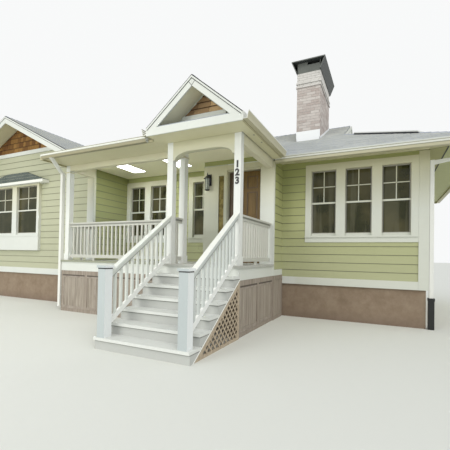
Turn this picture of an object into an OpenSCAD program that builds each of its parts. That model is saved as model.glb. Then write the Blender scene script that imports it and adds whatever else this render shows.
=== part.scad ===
// Bungalow with a raised front porch, a gabled entry portico and two wings.
// Millimetres. X runs along the front, Y into the house, Z up from the ground.

/* [Main House] */
// Width of the right wing's front wall
wing_w = 2860; // [2400:10:3600]
// Depth of the main house, front wall to back wall
main_d = 5600; // [4800:50:7000]
// Thickness of the walls
wall_t = 150; // [120:5:250]
// Height of the floor above the ground
floor_z = 1170; // [900:10:1400]
// Bottom of the framed walls, top of the masonry base
base_z = 755; // [500:5:900]
// Height of the roof surface at the eaves
eave_z = 3460; // [3200:10:3800]
// Rise of the main roofs per unit of run
roof_rise = 0.5; // [0.3:0.01:0.8]
// Rise of the hipped right slope per unit of run
hip_rise = 0.37; // [0.2:0.01:0.6]
// Thickness of the roof decks
roof_t = 80; // [50:5:150]
// Front and back eave overhang
eave_over = 600; // [300:10:800]
// Eave overhang on the right side
right_over = 860; // [400:10:1000]
// Distance of the small roof gable from the right eave
gablet_run = 2540; // [1500:5:3000]

/* [Left Wing] */
// Distance from the entry corner to the left wing
porch_span = 4580; // [3800:10:5400]
// Width of the left wing
left_w = 6000; // [5000:50:7000]
// How far the left wing stands in front of the main wall
left_front = 1220; // [600:10:2000]
// Overhang of the gable ends
rake_over = 450; // [200:10:600]
// Height where the shingled gable triangle starts
gable_z = 4280; // [4000:10:4600]

/* [Entry] */
// Width of the entry bay
entry_w = 1670; // [1400:10:2000]
// How far the entry bay stands out
entry_d = 660; // [300:10:1000]
// Width of the door leaf
door_w = 760; // [700:10:1000]
// Height of the door leaf
door_h = 2026; // [1900:2:2200]
// Thickness of the door leaf
door_t = 45; // [35:1:60]
// Running gap around the door
door_gap = 6; // [5:1:10]

/* [Portico] */
// Width over the portico posts
portico_w = 1480; // [1200:10:1800]
// Distance of the post fronts from the main wall
portico_d = 2400; // [2000:10:2800]
// Side of the square posts
post = 120; // [100:5:200]
// Height of the portico ridge
portico_ridge = 4250; // [4000:10:4600]
// Height of the portico roof at its eaves
portico_eave = 3520; // [3400:10:3700]
// Half width of the portico roof
portico_half = 880; // [780:10:1100]
// Roof overhang in front of the posts
portico_over = 420; // [300:10:600]
// Height of the arch crown
arch_crown = 3177; // [3050:1:3250]
// Height of the arch ends
arch_end = 3040; // [2900:1:3150]

/* [Porch] */
// Distance of the porch posts from the main wall
porch_d = 2000; // [1500:10:2400]
// Height of the ceiling
ceil_z = 3490; // [3300:5:3600]
// Height of the flat soffits
soffit_z = 3370; // [3250:5:3450]
// Bottom of the long porch beam
beam_z = 3250; // [3100:5:3350]
// Top of the porch railings
rail_z = 2030; // [1950:5:2250]
// Distance between balusters
bal_pitch = 115; // [90:1:130]
// Side of a baluster
bal = 35; // [25:1:50]

/* [Stairs] */
// Number of risers from ground to floor
risers = 7; // [5:1:9]
// Depth of a tread from nosing to nosing
tread = 250; // [220:5:300]
// Side of the newel posts
newel = 135; // [100:5:160]

/* [Windows] */
// Width of one window opening
win_w = 518; // [400:2:700]
// Bottom of the window openings
win_z0 = 1800; // [1600:10:2000]
// Top of the window openings
win_z1 = 3220; // [3000:10:3300]
// Distance between the triple windows
win_pitch = 702; // [600:2:800]
// Width of the sash frames
sash = 24; // [18:1:70]
// Width of the outer window boards
casing = 127; // [80:1:160]

/* [Chimney] */
// Width of the stack
stack_w = 580; // [450:10:800]
// Depth of the stack
stack_d = 1420; // [600:10:1600]
// Top of the brickwork
stack_z = 6070; // [5600:10:6600]
// Height of the metal cap above the brickwork
cap_h = 290; // [150:10:500]

/* [Hidden] */
$fn = 32;
eps = 2;
ridge_y = main_d / 2;
ridge_z = eave_z + roof_rise * (ridge_y + eave_over);
left_x1 = -porch_span;
left_x0 = left_x1 - left_w;
left_cx = left_x1 - left_w / 2;
left_half = (ridge_z - eave_z) / roof_rise;
left_y0 = -left_front - rake_over;
left_y1 = main_d + rake_over;
right_x = wing_w + right_over;
gablet_x = right_x - gablet_run;
gablet_z = eave_z + hip_rise * gablet_run;
board = 25;
port_x1 = -20;
port_cx = -portico_w / 2 + 20;
port_rise = (portico_ridge - portico_eave) / portico_half;
port_t = 100;
port_y0 = -portico_d - portico_over;
porch_y0 = -porch_d - 625;
join_y = -eave_over + (portico_ridge - eave_z) / roof_rise;
porch_rise = (portico_ridge - eave_z) / (join_y - porch_y0);
porch_x0 = left_x1 - 60;
rise = floor_z / risers;
floor_y0 = -portico_d - 100;
skirt_z = floor_z - 240;
stair_x0 = -portico_w - 40;
stair_x1 = 40;
gut = 100;
gut_y = -eave_over - board - gut - 5;
mid_x = (left_cx - left_half - board - gut + right_x + board + gut) / 2;
mid_y = (floor_y0 - tread * (risers - 1) + main_d + eave_over + board + gut) / 2;
lid_z = stack_z + cap_h;
chim_x = 36;
chim_y = 1100;
door_x1 = -300 - door_gap + 1;
door_x0 = door_x1 - door_w;
door_z0 = floor_z + 16;
door_z1 = door_z0 + door_h;
hinge_x = door_x1 + 5;
hinge_y = -entry_d + wall_t + 8;
leaf_y = -entry_d + wall_t - 5;
hinge_zs = [door_z0 + 180, door_z0 + 980, door_z1 - 260];
head_z = door_z1 + door_gap;
jamb = 40;
open_x0 = door_x0 - door_gap - jamb;
open_x1 = door_x1 + door_gap + jamb;
side_x0 = open_x0 - 180;
side_x1 = open_x0 - 45;
side_z0 = 1420;
side_z1 = 3140;
box_cx = left_cx - 100;
box_w = 2170;
box_d = 90;
box_win = 895;
box_off = 547;

// solids placed by their limits
module bx(x0, x1, y0, y1, z0, z1)
    translate([x0, y0, z0]) cube([x1 - x0, y1 - y0, z1 - z0]);
// (y, z) outline carried along X
module along_x(x0, x1, pts)
    translate([x0, 0, 0]) rotate([90, 0, 90]) linear_extrude(x1 - x0) polygon(pts);
// (x, z) outline carried along Y
module along_y(y0, y1, pts)
    translate([0, y1, 0]) rotate([90, 0, 0]) linear_extrude(y1 - y0) polygon(pts);
// (x, y) outline carried upwards
module plan(z0, z1, pts)
    translate([0, 0, z0]) linear_extrude(z1 - z0) polygon(pts);
module at_row() translate([-mid_x, -mid_y, 0]) children();

// house outline, moved inwards by d
function outline(d) = [
    [left_x0 + d, -left_front + d], [left_x1 - d, -left_front + d],
    [left_x1 - d, d], [-entry_w + d, d], [-entry_w + d, -entry_d + d],
    [-d, -entry_d + d], [-d, d], [wing_w - d, d],
    [wing_w - d, main_d - d], [left_x0 + d, main_d - d]];

// roof surface heights
function main_top(y) = eave_z + roof_rise * (min(y, main_d - y) + eave_over);
function left_top(x) = ridge_z - roof_rise * abs(x - left_cx);
function porch_top(y) = eave_z + porch_rise * (y - porch_y0);
function port_top(x) = portico_ridge - port_rise * abs(x - port_cx);

// volumes under the roof surfaces, lowered by d
module under_left(d, y0, y1)
    along_y(y0, y1, [[left_cx - left_half, 0], [left_cx + left_half, 0],
        [left_cx + left_half, eave_z - d], [left_cx, ridge_z - d], [left_cx - left_half, eave_z - d]]);
module under_main(d)
    intersection() {
        along_x(left_cx, right_x, [[-eave_over, 0], [main_d + eave_over, 0],
            [main_d + eave_over, eave_z - d], [ridge_y, ridge_z - d], [-eave_over, eave_z - d]]);
        along_y(-eave_over, main_d + eave_over, [[left_cx, 0], [right_x, 0], [right_x, eave_z - d],
            [gablet_x, gablet_z - d], [gablet_x, ridge_z], [left_cx, ridge_z]]);
    }
module under_port(d, y1)
    along_y(port_y0, y1, [[port_cx - portico_half, 0], [port_cx + portico_half, 0],
        [port_cx + portico_half, portico_eave - d], [port_cx, portico_ridge - d],
        [port_cx - portico_half, portico_eave - d]]);
module under_porch(x0, x1, d)
    along_x(x0, x1, [[porch_y0, 0], [join_y, 0], [join_y, portico_ridge - d], [porch_y0, eave_z - d]]);

// base and floor
module foundation() color([0.50, 0.44, 0.39]) at_row() {
    difference() {
        plan(0, base_z, outline(20));
        plan(-1, base_z + 1, outline(220));
    }
    bx(open_x0, open_x1, -entry_d + 25, -entry_d + 200, base_z, floor_z - 120);
    for (p = [[left_x1 + 70, -porch_d + 110], [-portico_w + 110, -porch_d + 110],
              [-portico_w + 110, -portico_d + 110], [-150, -portico_d + 110], [-2900, -porch_d + 110]])
        bx(p[0] - 100, p[0] + 100, p[1] - 70, p[1] + 130, 0, floor_z - 40);
}
module house_floor() color([0.62, 0.48, 0.34]) at_row() {
    plan(floor_z - 120, floor_z, outline(wall_t));
    bx(open_x0, open_x1, -entry_d + 20, -entry_d + wall_t + 1, floor_z - 120, floor_z);
}

// walls
module window_cut_y(cx, y, w, z0, z1) bx(cx - w / 2, cx + w / 2, y - 400, y + 400, z0, z1);
module window_cut_x(x, cy, w, z0, z1) bx(x - 400, x + 400, cy - w / 2, cy + w / 2, z0, z1);
triple = [for (i = [0:2]) wing_w - 1945 + i * win_pitch];
porch_wins = [-4190, -3474];
tall_win = -2110;
back_wins = [-9000, -6600, -4200, -1800, 900];
left_wins = [700, 3600];
right_wins = [1500, 3900];

module right_front_wall() color([0.70, 0.73, 0.56]) at_row() difference() {
    intersection() {
        bx(0, wing_w, 0, wall_t, base_z, ridge_z);
        under_main(roof_t);
    }
    for (c = triple) window_cut_y(c, 0, win_w, win_z0, win_z1);
}
module porch_back_wall() color([0.70, 0.73, 0.56]) at_row() difference() {
    along_x(left_x1, -entry_w, [[0, base_z], [wall_t, base_z],
        [wall_t, porch_top(wall_t) - roof_t], [0, porch_top(0) - roof_t]]);
    for (c = porch_wins) window_cut_y(c, 0, win_w, win_z0, win_z1);
    window_cut_y(tall_win, 0, win_w, win_z0, win_z1);
}
module back_wall() color([0.70, 0.73, 0.56]) at_row() difference() {
    union() {
        intersection() {
            bx(left_x1, wing_w, main_d - wall_t, main_d, base_z, ridge_z);
            under_main(roof_t);
        }
        along_y(main_d - wall_t, main_d, [[left_x0, base_z], [left_x1, base_z],
            [left_x1, left_top(left_x1) - roof_t], [left_cx, ridge_z - roof_t],
            [left_x0, left_top(left_x0) - roof_t]]);
    }
    for (c = back_wins) window_cut_y(c, main_d, win_w, win_z0, win_z1);
}
module right_side_wall() color([0.70, 0.73, 0.56]) at_row() difference() {
    intersection() {
        bx(wing_w - wall_t, wing_w, wall_t, main_d - wall_t, base_z, ridge_z);
        under_main(roof_t);
    }
    for (c = right_wins) window_cut_x(wing_w, c, win_w, win_z0, win_z1);
}
module left_front_wall() color([0.70, 0.73, 0.56]) at_row() difference() {
    along_y(-left_front, -left_front + wall_t, [[left_x0, base_z], [left_x1, base_z],
        [left_x1, left_top(left_x1) - roof_t], [left_cx, ridge_z - roof_t],
        [left_x0, left_top(left_x0) - roof_t]]);
    for (s = [-1, 1]) window_cut_y(box_cx + s * box_off, -left_front, box_win, win_z0 + 30, win_z1 + 10);
    bx(left_x0, left_x1, -left_front - 1, -left_front + 40, gable_z, ridge_z);
}
module left_outer_wall() color([0.70, 0.73, 0.56]) at_row() difference() {
    along_y(-left_front + wall_t, main_d - wall_t, [[left_x0, base_z], [left_x0 + wall_t, base_z],
        [left_x0 + wall_t, left_top(left_x0 + wall_t) - roof_t], [left_x0, left_top(left_x0) - roof_t]]);
    for (c = left_wins) window_cut_x(left_x0, c, win_w, win_z0, win_z1);
}
module left_porch_wall() color([0.70, 0.73, 0.56]) at_row()
    along_y(-left_front + wall_t, wall_t, [[left_x1 - wall_t, base_z], [left_x1, base_z],
        [left_x1, left_top(left_x1) - roof_t], [left_x1 - wall_t, left_top(left_x1 - wall_t) - roof_t]]);

entry_top = ceil_z + 55;
module entry_wall_left() color([0.70, 0.73, 0.56]) at_row() difference() {
    union() {
        bx(-entry_w, open_x0, -entry_d, -entry_d + wall_t, base_z, entry_top);
        bx(-entry_w, -entry_w + wall_t, -entry_d + wall_t - 1, wall_t, base_z, entry_top);
    }
    bx(side_x0, side_x1, -entry_d - 1, -entry_d + wall_t + 1, side_z0, side_z1);
}
module entry_wall_right() color([0.70, 0.73, 0.56]) at_row() {
    bx(open_x1, 0, -entry_d, -entry_d + wall_t, base_z, entry_top);
    bx(-wall_t, 0, -entry_d + wall_t - 1, wall_t, base_z, entry_top);
}
module entry_wall_over() color([0.70, 0.73, 0.56]) at_row()
    bx(open_x0, open_x1, -entry_d, -entry_d + wall_t, head_z + jamb, entry_top);

module gable_shingles() color([0.45, 0.22, 0.13]) at_row() {
    h = ridge_z - roof_t - 30 - gable_z;
    along_y(-left_front + 15, -left_front + 40, [[left_cx - h / roof_rise, gable_z],
        [left_cx + h / roof_rise, gable_z], [left_cx, gable_z + h]]);
    ph = portico_ridge - port_t - 60 - 3730;
    along_y(-portico_d - 30, -portico_d - 10, [[port_cx - ph / port_rise, 3730],
        [port_cx + ph / port_rise, 3730], [port_cx, 3730 + ph]]);
}

// outside boards
module corner(x, y, sx, sy, w, z0, z1) {
    bx(min(x + sx * board, x - sx * w), max(x + sx * board, x - sx * w),
        min(y, y + sy * board), max(y, y + sy * board), z0, z1);
    bx(min(x, x + sx * board), max(x, x + sx * board),
        min(y + sy * board, y - sy * w), max(y + sy * board, y - sy * w), z0, z1);
}
module trim_boards() color([0.93, 0.93, 0.89]) at_row() {
    z0 = base_z - 20;
    z1 = base_z + 140;
    c = 153;
    corner(wing_w, 0, 1, -1, c, z0, 3425);
    corner(wing_w, main_d, 1, 1, c, z0, 3425);
    corner(left_x0, main_d, -1, 1, c, z0, 3355);
    corner(left_x0, -left_front, -1, -1, c, z0, 3355);
    bx(left_x1 - 215, left_x1 + board, -left_front - board, -left_front, z0, beam_z);
    bx(left_x1, left_x1 + board, -left_front + eps, -left_front + 36, floor_z, ceil_z);
    bx(0, board, -entry_d - board, -entry_d + 30, skirt_z, 3343);
    bx(0, board, -entry_d + 32, -board - eps, skirt_z, skirt_z + 125);
    bx(eps, wing_w - c - eps, -board, 0, z0, z1);
    bx(wing_w, wing_w + board, c + eps, main_d - c - eps, z0, z1);
    bx(left_x0 + c + eps, wing_w - c - eps, main_d, main_d + board, z0, z1);
    bx(left_x0 - board, left_x0, -left_front + c + eps, main_d - c - eps, z0, z1);
    bx(left_x0 + c + eps, left_x1 - 215 - eps, -left_front - board, -left_front, z0, z1);
    w = (ridge_z - roof_t - gable_z) / roof_rise - 40;
    bx(left_cx - w, left_cx + w, -left_front - board, -left_front, gable_z - 110, gable_z - eps);
}

// casing around one group of openings on a wall that faces -Y (s = 1) or +Y (s = -1)
module casing_y(cs, y, s, w, z0, z1, side) {
    n = len(cs);
    a = min(y, y - s * board);
    b = max(y, y - s * board);
    difference() {
        union() {
            bx(cs[0] - w / 2 - side, cs[n - 1] + w / 2 + side, a, b, z0 - 140, z1 + 137);
            bx(cs[0] - w / 2 - side, cs[n - 1] + w / 2 + side,
                min(y, y - s * (board + 25)), max(y, y - s * (board + 25)), z0 - 35, z0);
        }
        for (c = cs) window_cut_y(c, y, w, z0, z1);
    }
}
module casing_x(x, s, cy, w, z0, z1, side) {
    a = min(x, x + s * board);
    b = max(x, x + s * board);
    difference() {
        bx(a, b, cy - w / 2 - side, cy + w / 2 + side, z0 - 140, z1 + 137);
        window_cut_x(x, cy, w, z0, z1);
    }
}
module window_trim() color([0.94, 0.94, 0.90]) at_row() {
    casing_y(triple, 0, 1, win_w, win_z0, win_z1, casing);
    casing_y(porch_wins, 0, 1, win_w, win_z0, win_z1, casing);
    casing_y([tall_win], 0, 1, win_w, win_z0, win_z1, casing);
    for (c = back_wins) casing_y([c], main_d, -1, win_w, win_z0, win_z1, casing);
    for (c = right_wins) casing_x(wing_w, 1, c, win_w, win_z0, win_z1, casing);
    for (c = left_wins) casing_x(left_x0, -1, c, win_w, win_z0, win_z1, casing);
}
module left_window_box() color([0.94, 0.94, 0.90]) at_row() difference() {
    bx(box_cx - box_w / 2, box_cx + box_w / 2, -left_front - box_d, -left_front, 1390, 3270);
    for (s = [-1, 1]) window_cut_y(box_cx + s * box_off, -left_front, box_win, win_z0 + 30, win_z1 + 10);
}
module left_window_hood() color([0.30, 0.34, 0.36]) at_row() {
    a = box_cx - box_w / 2 - 300;
    b = box_cx + box_w / 2 + 300;
    yw = -left_front;
    intersection() {
        along_x(a, b, [[yw - 210, 3270], [yw, 3270], [yw, 3650], [yw - 40, 3650], [yw - 210, 3345]]);
        along_y(yw - 210, yw, [[a, 3270], [b, 3270], [b, 3345], [b - 935, 3650],
            [a + 935, 3650], [a, 3345]]);
    }
}

// one sash frame with its meeting rail, centred on x = 0, front face at y = 0
module sash_frame(w, z0, z1) difference() {
    bx(-w / 2, w / 2, 0, 40, z0, z1);
    zm = (z0 + z1) / 2;
    bx(-w / 2 + sash, w / 2 - sash, -1, 41, z0 + 70, zm - 15);
    bx(-w / 2 + sash, w / 2 - sash, -1, 41, zm + 22, z1 - sash);
}
module panes(w, z0, z1) {
    zm = (z0 + z1) / 2;
    bx(-w / 2 + sash, w / 2 - sash, 16, 24, z0 + 70, zm - 15);
    bx(-w / 2 + sash, w / 2 - sash, 16, 24, zm + 22, z1 - sash);
}
module each_window(kind) {
    for (c = concat(triple, porch_wins, [tall_win]))
        translate([c, 45, 0]) one_window(kind, win_w, win_z0, win_z1);
    for (s = [-1, 1])
        translate([box_cx + s * box_off, -left_front - 30, 0])
            one_window(kind, box_win, win_z0 + 30, win_z1 + 10);
    for (c = back_wins)
        translate([c, main_d - 45, 0]) rotate([0, 0, 180]) one_window(kind, win_w, win_z0, win_z1);
    for (c = right_wins)
        translate([wing_w - 45, c, 0]) rotate([0, 0, 90]) one_window(kind, win_w, win_z0, win_z1);
    for (c = left_wins)
        translate([left_x0 + 45, c, 0]) rotate([0, 0, -90]) one_window(kind, win_w, win_z0, win_z1);
}
module one_window(kind, w, z0, z1) {
    if (kind == 0) sash_frame(w, z0, z1);
    else panes(w, z0, z1);
}
module window_sashes() color([0.90, 0.90, 0.86]) at_row() {
    each_window(0);
    difference() {
        bx(side_x0, side_x1, -entry_d + 50, -entry_d + 80, side_z0, side_z1);
        bx(side_x0 + 15, side_x1 - 15, -entry_d + 49, -entry_d + 81, side_z0 + 60, side_z1 - 25);
    }
}
module window_glass() color([0.35, 0.40, 0.40, 0.5]) at_row() {
    each_window(1);
    bx(side_x0 + 15, side_x1 - 15, -entry_d + 62, -entry_d + 68, side_z0 + 60, side_z1 - 25);
    for (x = skylights) along_x(x - 220, x + 220, sky_band(470, 60.3, 72));
}

// door
module door_frame() color([0.93, 0.92, 0.87]) at_row() {
    y0 = -entry_d;
    y1 = -entry_d + wall_t;
    bx(open_x0, open_x0 + jamb, y0, y1, floor_z, head_z);
    bx(open_x1 - jamb, open_x1, y0, y1, floor_z, head_z);
    bx(open_x0, open_x1, y0, y1, head_z + 1, head_z + jamb);
    bx(open_x0 + jamb + 1, open_x1 - jamb - 1, y0 + 5, y1 - 5, floor_z, floor_z + 8);
    bx(-entry_w, side_x0, y0 - board, y0, floor_z, head_z + jamb);
    bx(side_x1 - 5, open_x0 + 25, y0 - board, y0, floor_z, head_z + jamb);
    bx(side_x0 + 1, side_x1 - 6, y0 - board, y0, floor_z, side_z0 + 30);
    bx(side_x0 + 1, side_x1 - 6, y0 - board, y0, side_z1, head_z + jamb);
    bx(open_x1 - 25, -1, y0 - board, y0, floor_z, head_z + jamb);
    bx(-entry_w, -1, y0 - board, y0, head_z + jamb + 1, head_z + jamb + 128);
    for (z = hinge_zs, d = [-25.3, 60.3]) {
        barrel(z + d, 25);
        bx(hinge_x + 3, open_x1 - 3, y1 - 1, y1 + 6, z + d, z + d + 25);
    }
}
module door_panel() difference() {
    bx(door_x0, door_x1, leaf_y - door_t, leaf_y, door_z0, door_z1);
    pw = (door_w - 3 * 110) / 2;
    for (i = [0, 1], f = [0, 1]) {
        x = door_x0 + 110 + i * (pw + 110);
        y = f == 0 ? leaf_y - door_t - 1 : leaf_y - 8;
        for (r = [[200, 620], [930, 620], [1660, 240]])
            bx(x, x + pw, y, y + 9, door_z0 + r[0], door_z0 + r[0] + r[1]);
    }
}
// hinge barrels on the axis, with a strap towards the leaf or the jamb
module barrel(z, h) translate([hinge_x, hinge_y, z]) cylinder(h = h, r = 7);
module front_door() color([0.40, 0.26, 0.18]) at_row() {
    door_panel();
    for (z = hinge_zs) {
        barrel(z, 60);
        bx(door_x1 - 45, hinge_x - 4, leaf_y - 1, leaf_y + 4, z, z + 60);
        bx(hinge_x - 9, hinge_x - 4, leaf_y, hinge_y - 3, z, z + 60);
    }
}
module door_knob() color([0.72, 0.60, 0.32]) at_row() {
    for (s = [0, 1]) {
        y = s == 0 ? leaf_y - door_t : leaf_y;
        translate([door_x0 + 60, y, door_z0 + 960]) rotate([s == 0 ? 90 : -90, 0, 0]) rotate_extrude()
            polygon([[0, 0], [26, 0], [26, 5], [10, 8], [9, 30], [24, 38], [27, 50], [20, 62], [0, 64]]);
    }
}

// roofs
module left_wing_roof() color([0.42, 0.46, 0.50]) at_row() difference() {
    under_left(0, left_y0, left_y1);
    under_left(roof_t, left_y0 - 1, left_y1 + 1);
    bx(porch_x0, left_x1 + 2000, left_y0 - 1, ridge_y, 0, 9000);
    bx(left_x1, left_x1 + 2000, ridge_y - 1, main_d, 0, 9000);
}
module main_roof() color([0.42, 0.46, 0.50]) at_row() difference() {
    under_main(0);
    under_main(roof_t);
    under_left(0, left_y0, left_y1);
    under_port(port_t, join_y);
    bx(left_cx - 1, port_cx, -eave_over - 1, join_y, 0, 9000);
    bx(left_cx - 1, left_x1 + 400, left_y1 - 1, main_d + eave_over + 1, 0, 9000);
    bx(chim_x, chim_x + stack_w, chim_y, chim_y + stack_d, 0, 9000);
}
module porch_roof() color([0.42, 0.46, 0.50]) at_row() difference() {
    under_porch(left_cx, port_cx, 0);
    along_x(left_cx - 1, port_cx + 1, [[porch_y0 - 1, 0], [join_y + 1, 0],
        [join_y + 1, porch_top(join_y + 1) - roof_t], [porch_y0 - 1, porch_top(porch_y0 - 1) - roof_t]]);
    bx(left_cx - 1, porch_x0, porch_y0 - 1, left_y0, 0, 9000);
    under_left(0, left_y0, left_y1);
    under_port(port_t, join_y);
    for (x = skylights) bx(x - 200, x + 200, sky_y - 450, sky_y + 450, 0, 9000);
}
module portico_roof() color([0.42, 0.46, 0.50]) at_row() difference() {
    union() {
        difference() {
            under_port(0, join_y);
            under_port(port_t, join_y + 1);
            bx(-9000, 9000, port_y0 - 1, port_y0, 0, 9000);
        }
        intersection() {
            along_x(port_cx - portico_half, port_cx + portico_half, [[port_y0 + eps, 3505],
                [-portico_d - 32, 3570], [-portico_d - 32, 3590], [port_y0 + eps, 3525]]);
            under_port(port_t - 1, join_y);
        }
    }
    under_porch(left_cx, port_cx, 0);
    intersection() {
        under_main(0);
        bx(port_cx - 1, 9000, -9000, 9000, 0, 9000);
    }
}

skylights = [-3700, -2300];
sky_y = -950;
function sky_top(d) = porch_top(sky_y + d);
// (y, z) outline of a sheet along the roof slope
function sky_band(h, a, b) = [[sky_y - h, sky_top(-h) + a], [sky_y + h, sky_top(h) + a],
    [sky_y + h, sky_top(h) + b], [sky_y - h, sky_top(-h) + b]];
module porch_ceiling() color([0.90, 0.90, 0.86]) at_row() difference() {
    union() {
        plan(ceil_z, ceil_z + 20, [[porch_x0, -porch_d], [-portico_w, -porch_d], [-portico_w, -portico_d],
            [0, -portico_d], [0, -entry_d], [-entry_w, -entry_d], [-entry_w, 0], [left_x1, 0],
            [left_x1, -left_front], [porch_x0, -left_front]]);
        for (x = skylights)
            along_x(x - 200, x + 200, [[sky_y - 450, ceil_z], [sky_y + 450, ceil_z],
                [sky_y + 450, sky_top(450) + 60], [sky_y - 450, sky_top(-450) + 60]]);
    }
    for (x = skylights)
        bx(x - 180, x + 180, sky_y - 430, sky_y + 430, 0, 9000);
}

// soffits and boards at the eaves
module soffit_main(x0, x1, pts) intersection() {
    along_x(x0, x1, [[-eave_over, 3345], [0, 3440], [main_d, 3440], [main_d + eave_over, 3345],
        [main_d + eave_over, 3360], [main_d, 3455], [0, 3455], [-eave_over, 3360]]);
    plan(3000, 4000, pts);
}
module soffits() color([0.86, 0.84, 0.74]) at_row() {
    soffit_main(eps, right_x, [[eps, -eave_over], [right_x - 3, -eave_over], [wing_w - 3, 0], [eps, 0]]);
    soffit_main(left_x1 + 400, right_x, [[left_x1 + 402, main_d + eave_over],
        [right_x - 3, main_d + eave_over],
        [wing_w - 3, main_d], [left_x1 + 402, main_d]]);
    intersection() {
        along_y(-eave_over, main_d + eave_over, [[wing_w, 3440], [right_x, 3345],
            [right_x, 3360], [wing_w, 3455]]);
        plan(3000, 4000, [[wing_w, 0], [right_x, -eave_over], [right_x, main_d + eave_over],
            [wing_w, main_d]]);
    }
    bx(left_cx - left_half, left_x0, left_y0 + board, left_y1 - board, 3360, 3375);
    for (y = [left_y0 + 1, main_d + 1], s = [-1, 1]) {
        x1 = s < 0 ? left_cx - 1 : porch_x0 - 1;
        x0 = s < 0 ? left_x0 : left_cx + 1;
        along_y(y, y + rake_over - 2, [[x0, left_top(x0) - roof_t - 15], [x1, left_top(x1) - roof_t - 15],
            [x1, left_top(x1) - roof_t], [x0, left_top(x0) - roof_t]]);
    }
    bx(porch_x0, port_cx - portico_half - eps, porch_y0, -porch_d - eps, soffit_z, soffit_z + 9);
    bx(port_cx - portico_half, port_cx + portico_half, port_y0, -portico_d - eps, soffit_z, soffit_z + 15);
    bx(eps, port_cx + portico_half, -portico_d, gut_y - eps, soffit_z, soffit_z + 15);
    bx(port_cx - portico_half, -portico_w, -portico_d, -porch_d - eps, soffit_z, soffit_z + 15);
}
module rake_pair(cx, half, top, slope, drop, h, y0, y1, x_cut) {
    for (s = [-1, 1]) {
        xe = s < 0 ? cx - half : min(cx + half, x_cut);
        zt = top - slope * abs(xe - cx) - drop;
        along_y(y0, y1, [[xe, zt - h], [cx + s, top - drop - h], [cx + s, top - drop], [xe, zt]]);
    }
}
module fascias() color([0.94, 0.94, 0.90]) at_row() {
    z0 = 3300;
    z1 = 3465;
    bx(port_cx + portico_half + eps, right_x + board, -eave_over - board, -eave_over, z0, z1);
    bx(board + 3, port_cx + portico_half + 3, -eave_over - board, -eave_over, z0, portico_eave - 105);
    bx(right_x, right_x + board, -eave_over + eps, main_d + eave_over - eps, z0, z1);
    bx(left_x1 + 402, right_x + board, main_d + eave_over, main_d + eave_over + board, z0, z1);
    bx(left_cx - left_half - board, left_cx - left_half, left_y0 + eps, left_y1 - eps, z0, z1);
    rake_pair(left_cx, left_half + board, ridge_z, roof_rise, 10, 180, left_y0 - board, left_y0,
        porch_x0 - 3);
    rake_pair(left_cx, left_half + board, ridge_z, roof_rise, 10, 180, left_y1, left_y1 + board,
        left_x1 + 400);
    bx(porch_x0 + 1, port_cx - portico_half - board - eps, porch_y0 - board, porch_y0, soffit_z - 30, z1);
    yl = left_y0 - board - 2;
    zl = left_top(porch_x0) - roof_t - 115;
    along_x(porch_x0 - board, porch_x0, [[porch_y0 - board, soffit_z - 30], [-left_front - 27, soffit_z - 30],
        [-left_front - 27, zl], [yl, zl], [yl, porch_top(yl)], [porch_y0 - board, z1]]);
    bx(port_cx + portico_half, port_cx + portico_half + board, port_y0, gut_y - eps,
        soffit_z + 5, portico_eave - 10);
    bx(port_cx - portico_half - board, port_cx - portico_half, port_y0, porch_y0 - board - 1,
        soffit_z + 5, portico_eave - 10);
}
module portico_gable() color([0.95, 0.95, 0.92]) at_row() {
    e = port_cx + portico_half + board;
    w = port_cx - portico_half - board;
    zr = soffit_z + 130;
    difference() {
        rake_pair(port_cx, portico_half + board, portico_ridge, port_rise, 12, 165,
            port_y0 - board, port_y0, 9000);
        bx(w - 1, e + 1, port_y0 - board - 1, port_y0 + 1, 0, zr + 0.3);
    }
    x_end = (portico_ridge - 12 - zr) / port_rise;
    ze = portico_ridge - 12 - port_rise * (portico_half + board);
    along_y(port_y0 - board, port_y0, [[w, soffit_z], [e, soffit_z], [e, ze],
        [port_cx + x_end, zr], [port_cx - x_end, zr], [w, ze]]);
    d = port_t + 0.5;
    along_y(-portico_d - 10, -portico_d + 15, [[port_cx - 740, ceil_z + 20], [port_cx + 740, ceil_z + 20],
        [port_cx + 740, port_top(port_cx + 740) - d], [port_cx, portico_ridge - d],
        [port_cx - 740, port_top(port_cx - 740) - d]]);
    gh = ridge_z - gablet_z;
    along_x(gablet_x, gablet_x + 30, [[ridge_y - gh / roof_rise + 60, gablet_z + 15],
        [ridge_y + gh / roof_rise - 60, gablet_z + 15], [ridge_y, ridge_z - 30]]);
}

// gutters and pipes
// outline of a gutter, hung at v and reaching out along s
function gutter_cut(v, s, z0, z1) = [[v, z0], [v + s * 75, z0], [v + s * 82, z0 + 45],
    [v + s * gut, z1 - 15], [v + s * gut, z1], [v + s * (gut - 8), z1], [v + s * (gut - 8), z1 - 15],
    [v + s * 74, z0 + 45], [v + s * 68, z0 + 8], [v + s * 8, z0 + 8], [v + s * 8, z1], [v, z1]];
module gutter_x(x0, x1, y, s, z0, z1)
    along_x(x0, x1, gutter_cut(y, s, z0, z1));
module gutter_y(y0, y1, x, s, z0, z1)
    along_y(y0, y1, gutter_cut(x, s, z0, z1));
module gutters() color([0.93, 0.92, 0.87]) at_row() {
    z0 = 3305;
    z1 = 3405;
    gutter_x(board + 3, right_x + board, -eave_over - board, -1, z0, z1);
    gutter_y(-eave_over - board, main_d + eave_over + board, right_x + board, 1, z0, z1);
    gutter_x(left_x1 + 402, right_x + board, main_d + eave_over + board, 1, z0, z1);
    gutter_y(left_y0, left_y1, left_cx - left_half - board, -1, z0, z1);
    gutter_x(porch_x0 + 110, port_cx - portico_half - board - gut - eps, porch_y0 - board, -1, 3330, 3430);
    gutter_y(port_y0 - board, gut_y, port_cx + portico_half + board, 1, 3385, 3510);
    gutter_y(port_y0 - board, porch_y0 - board - 5, port_cx - portico_half - board, -1, 3385, 3510);
}
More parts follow.
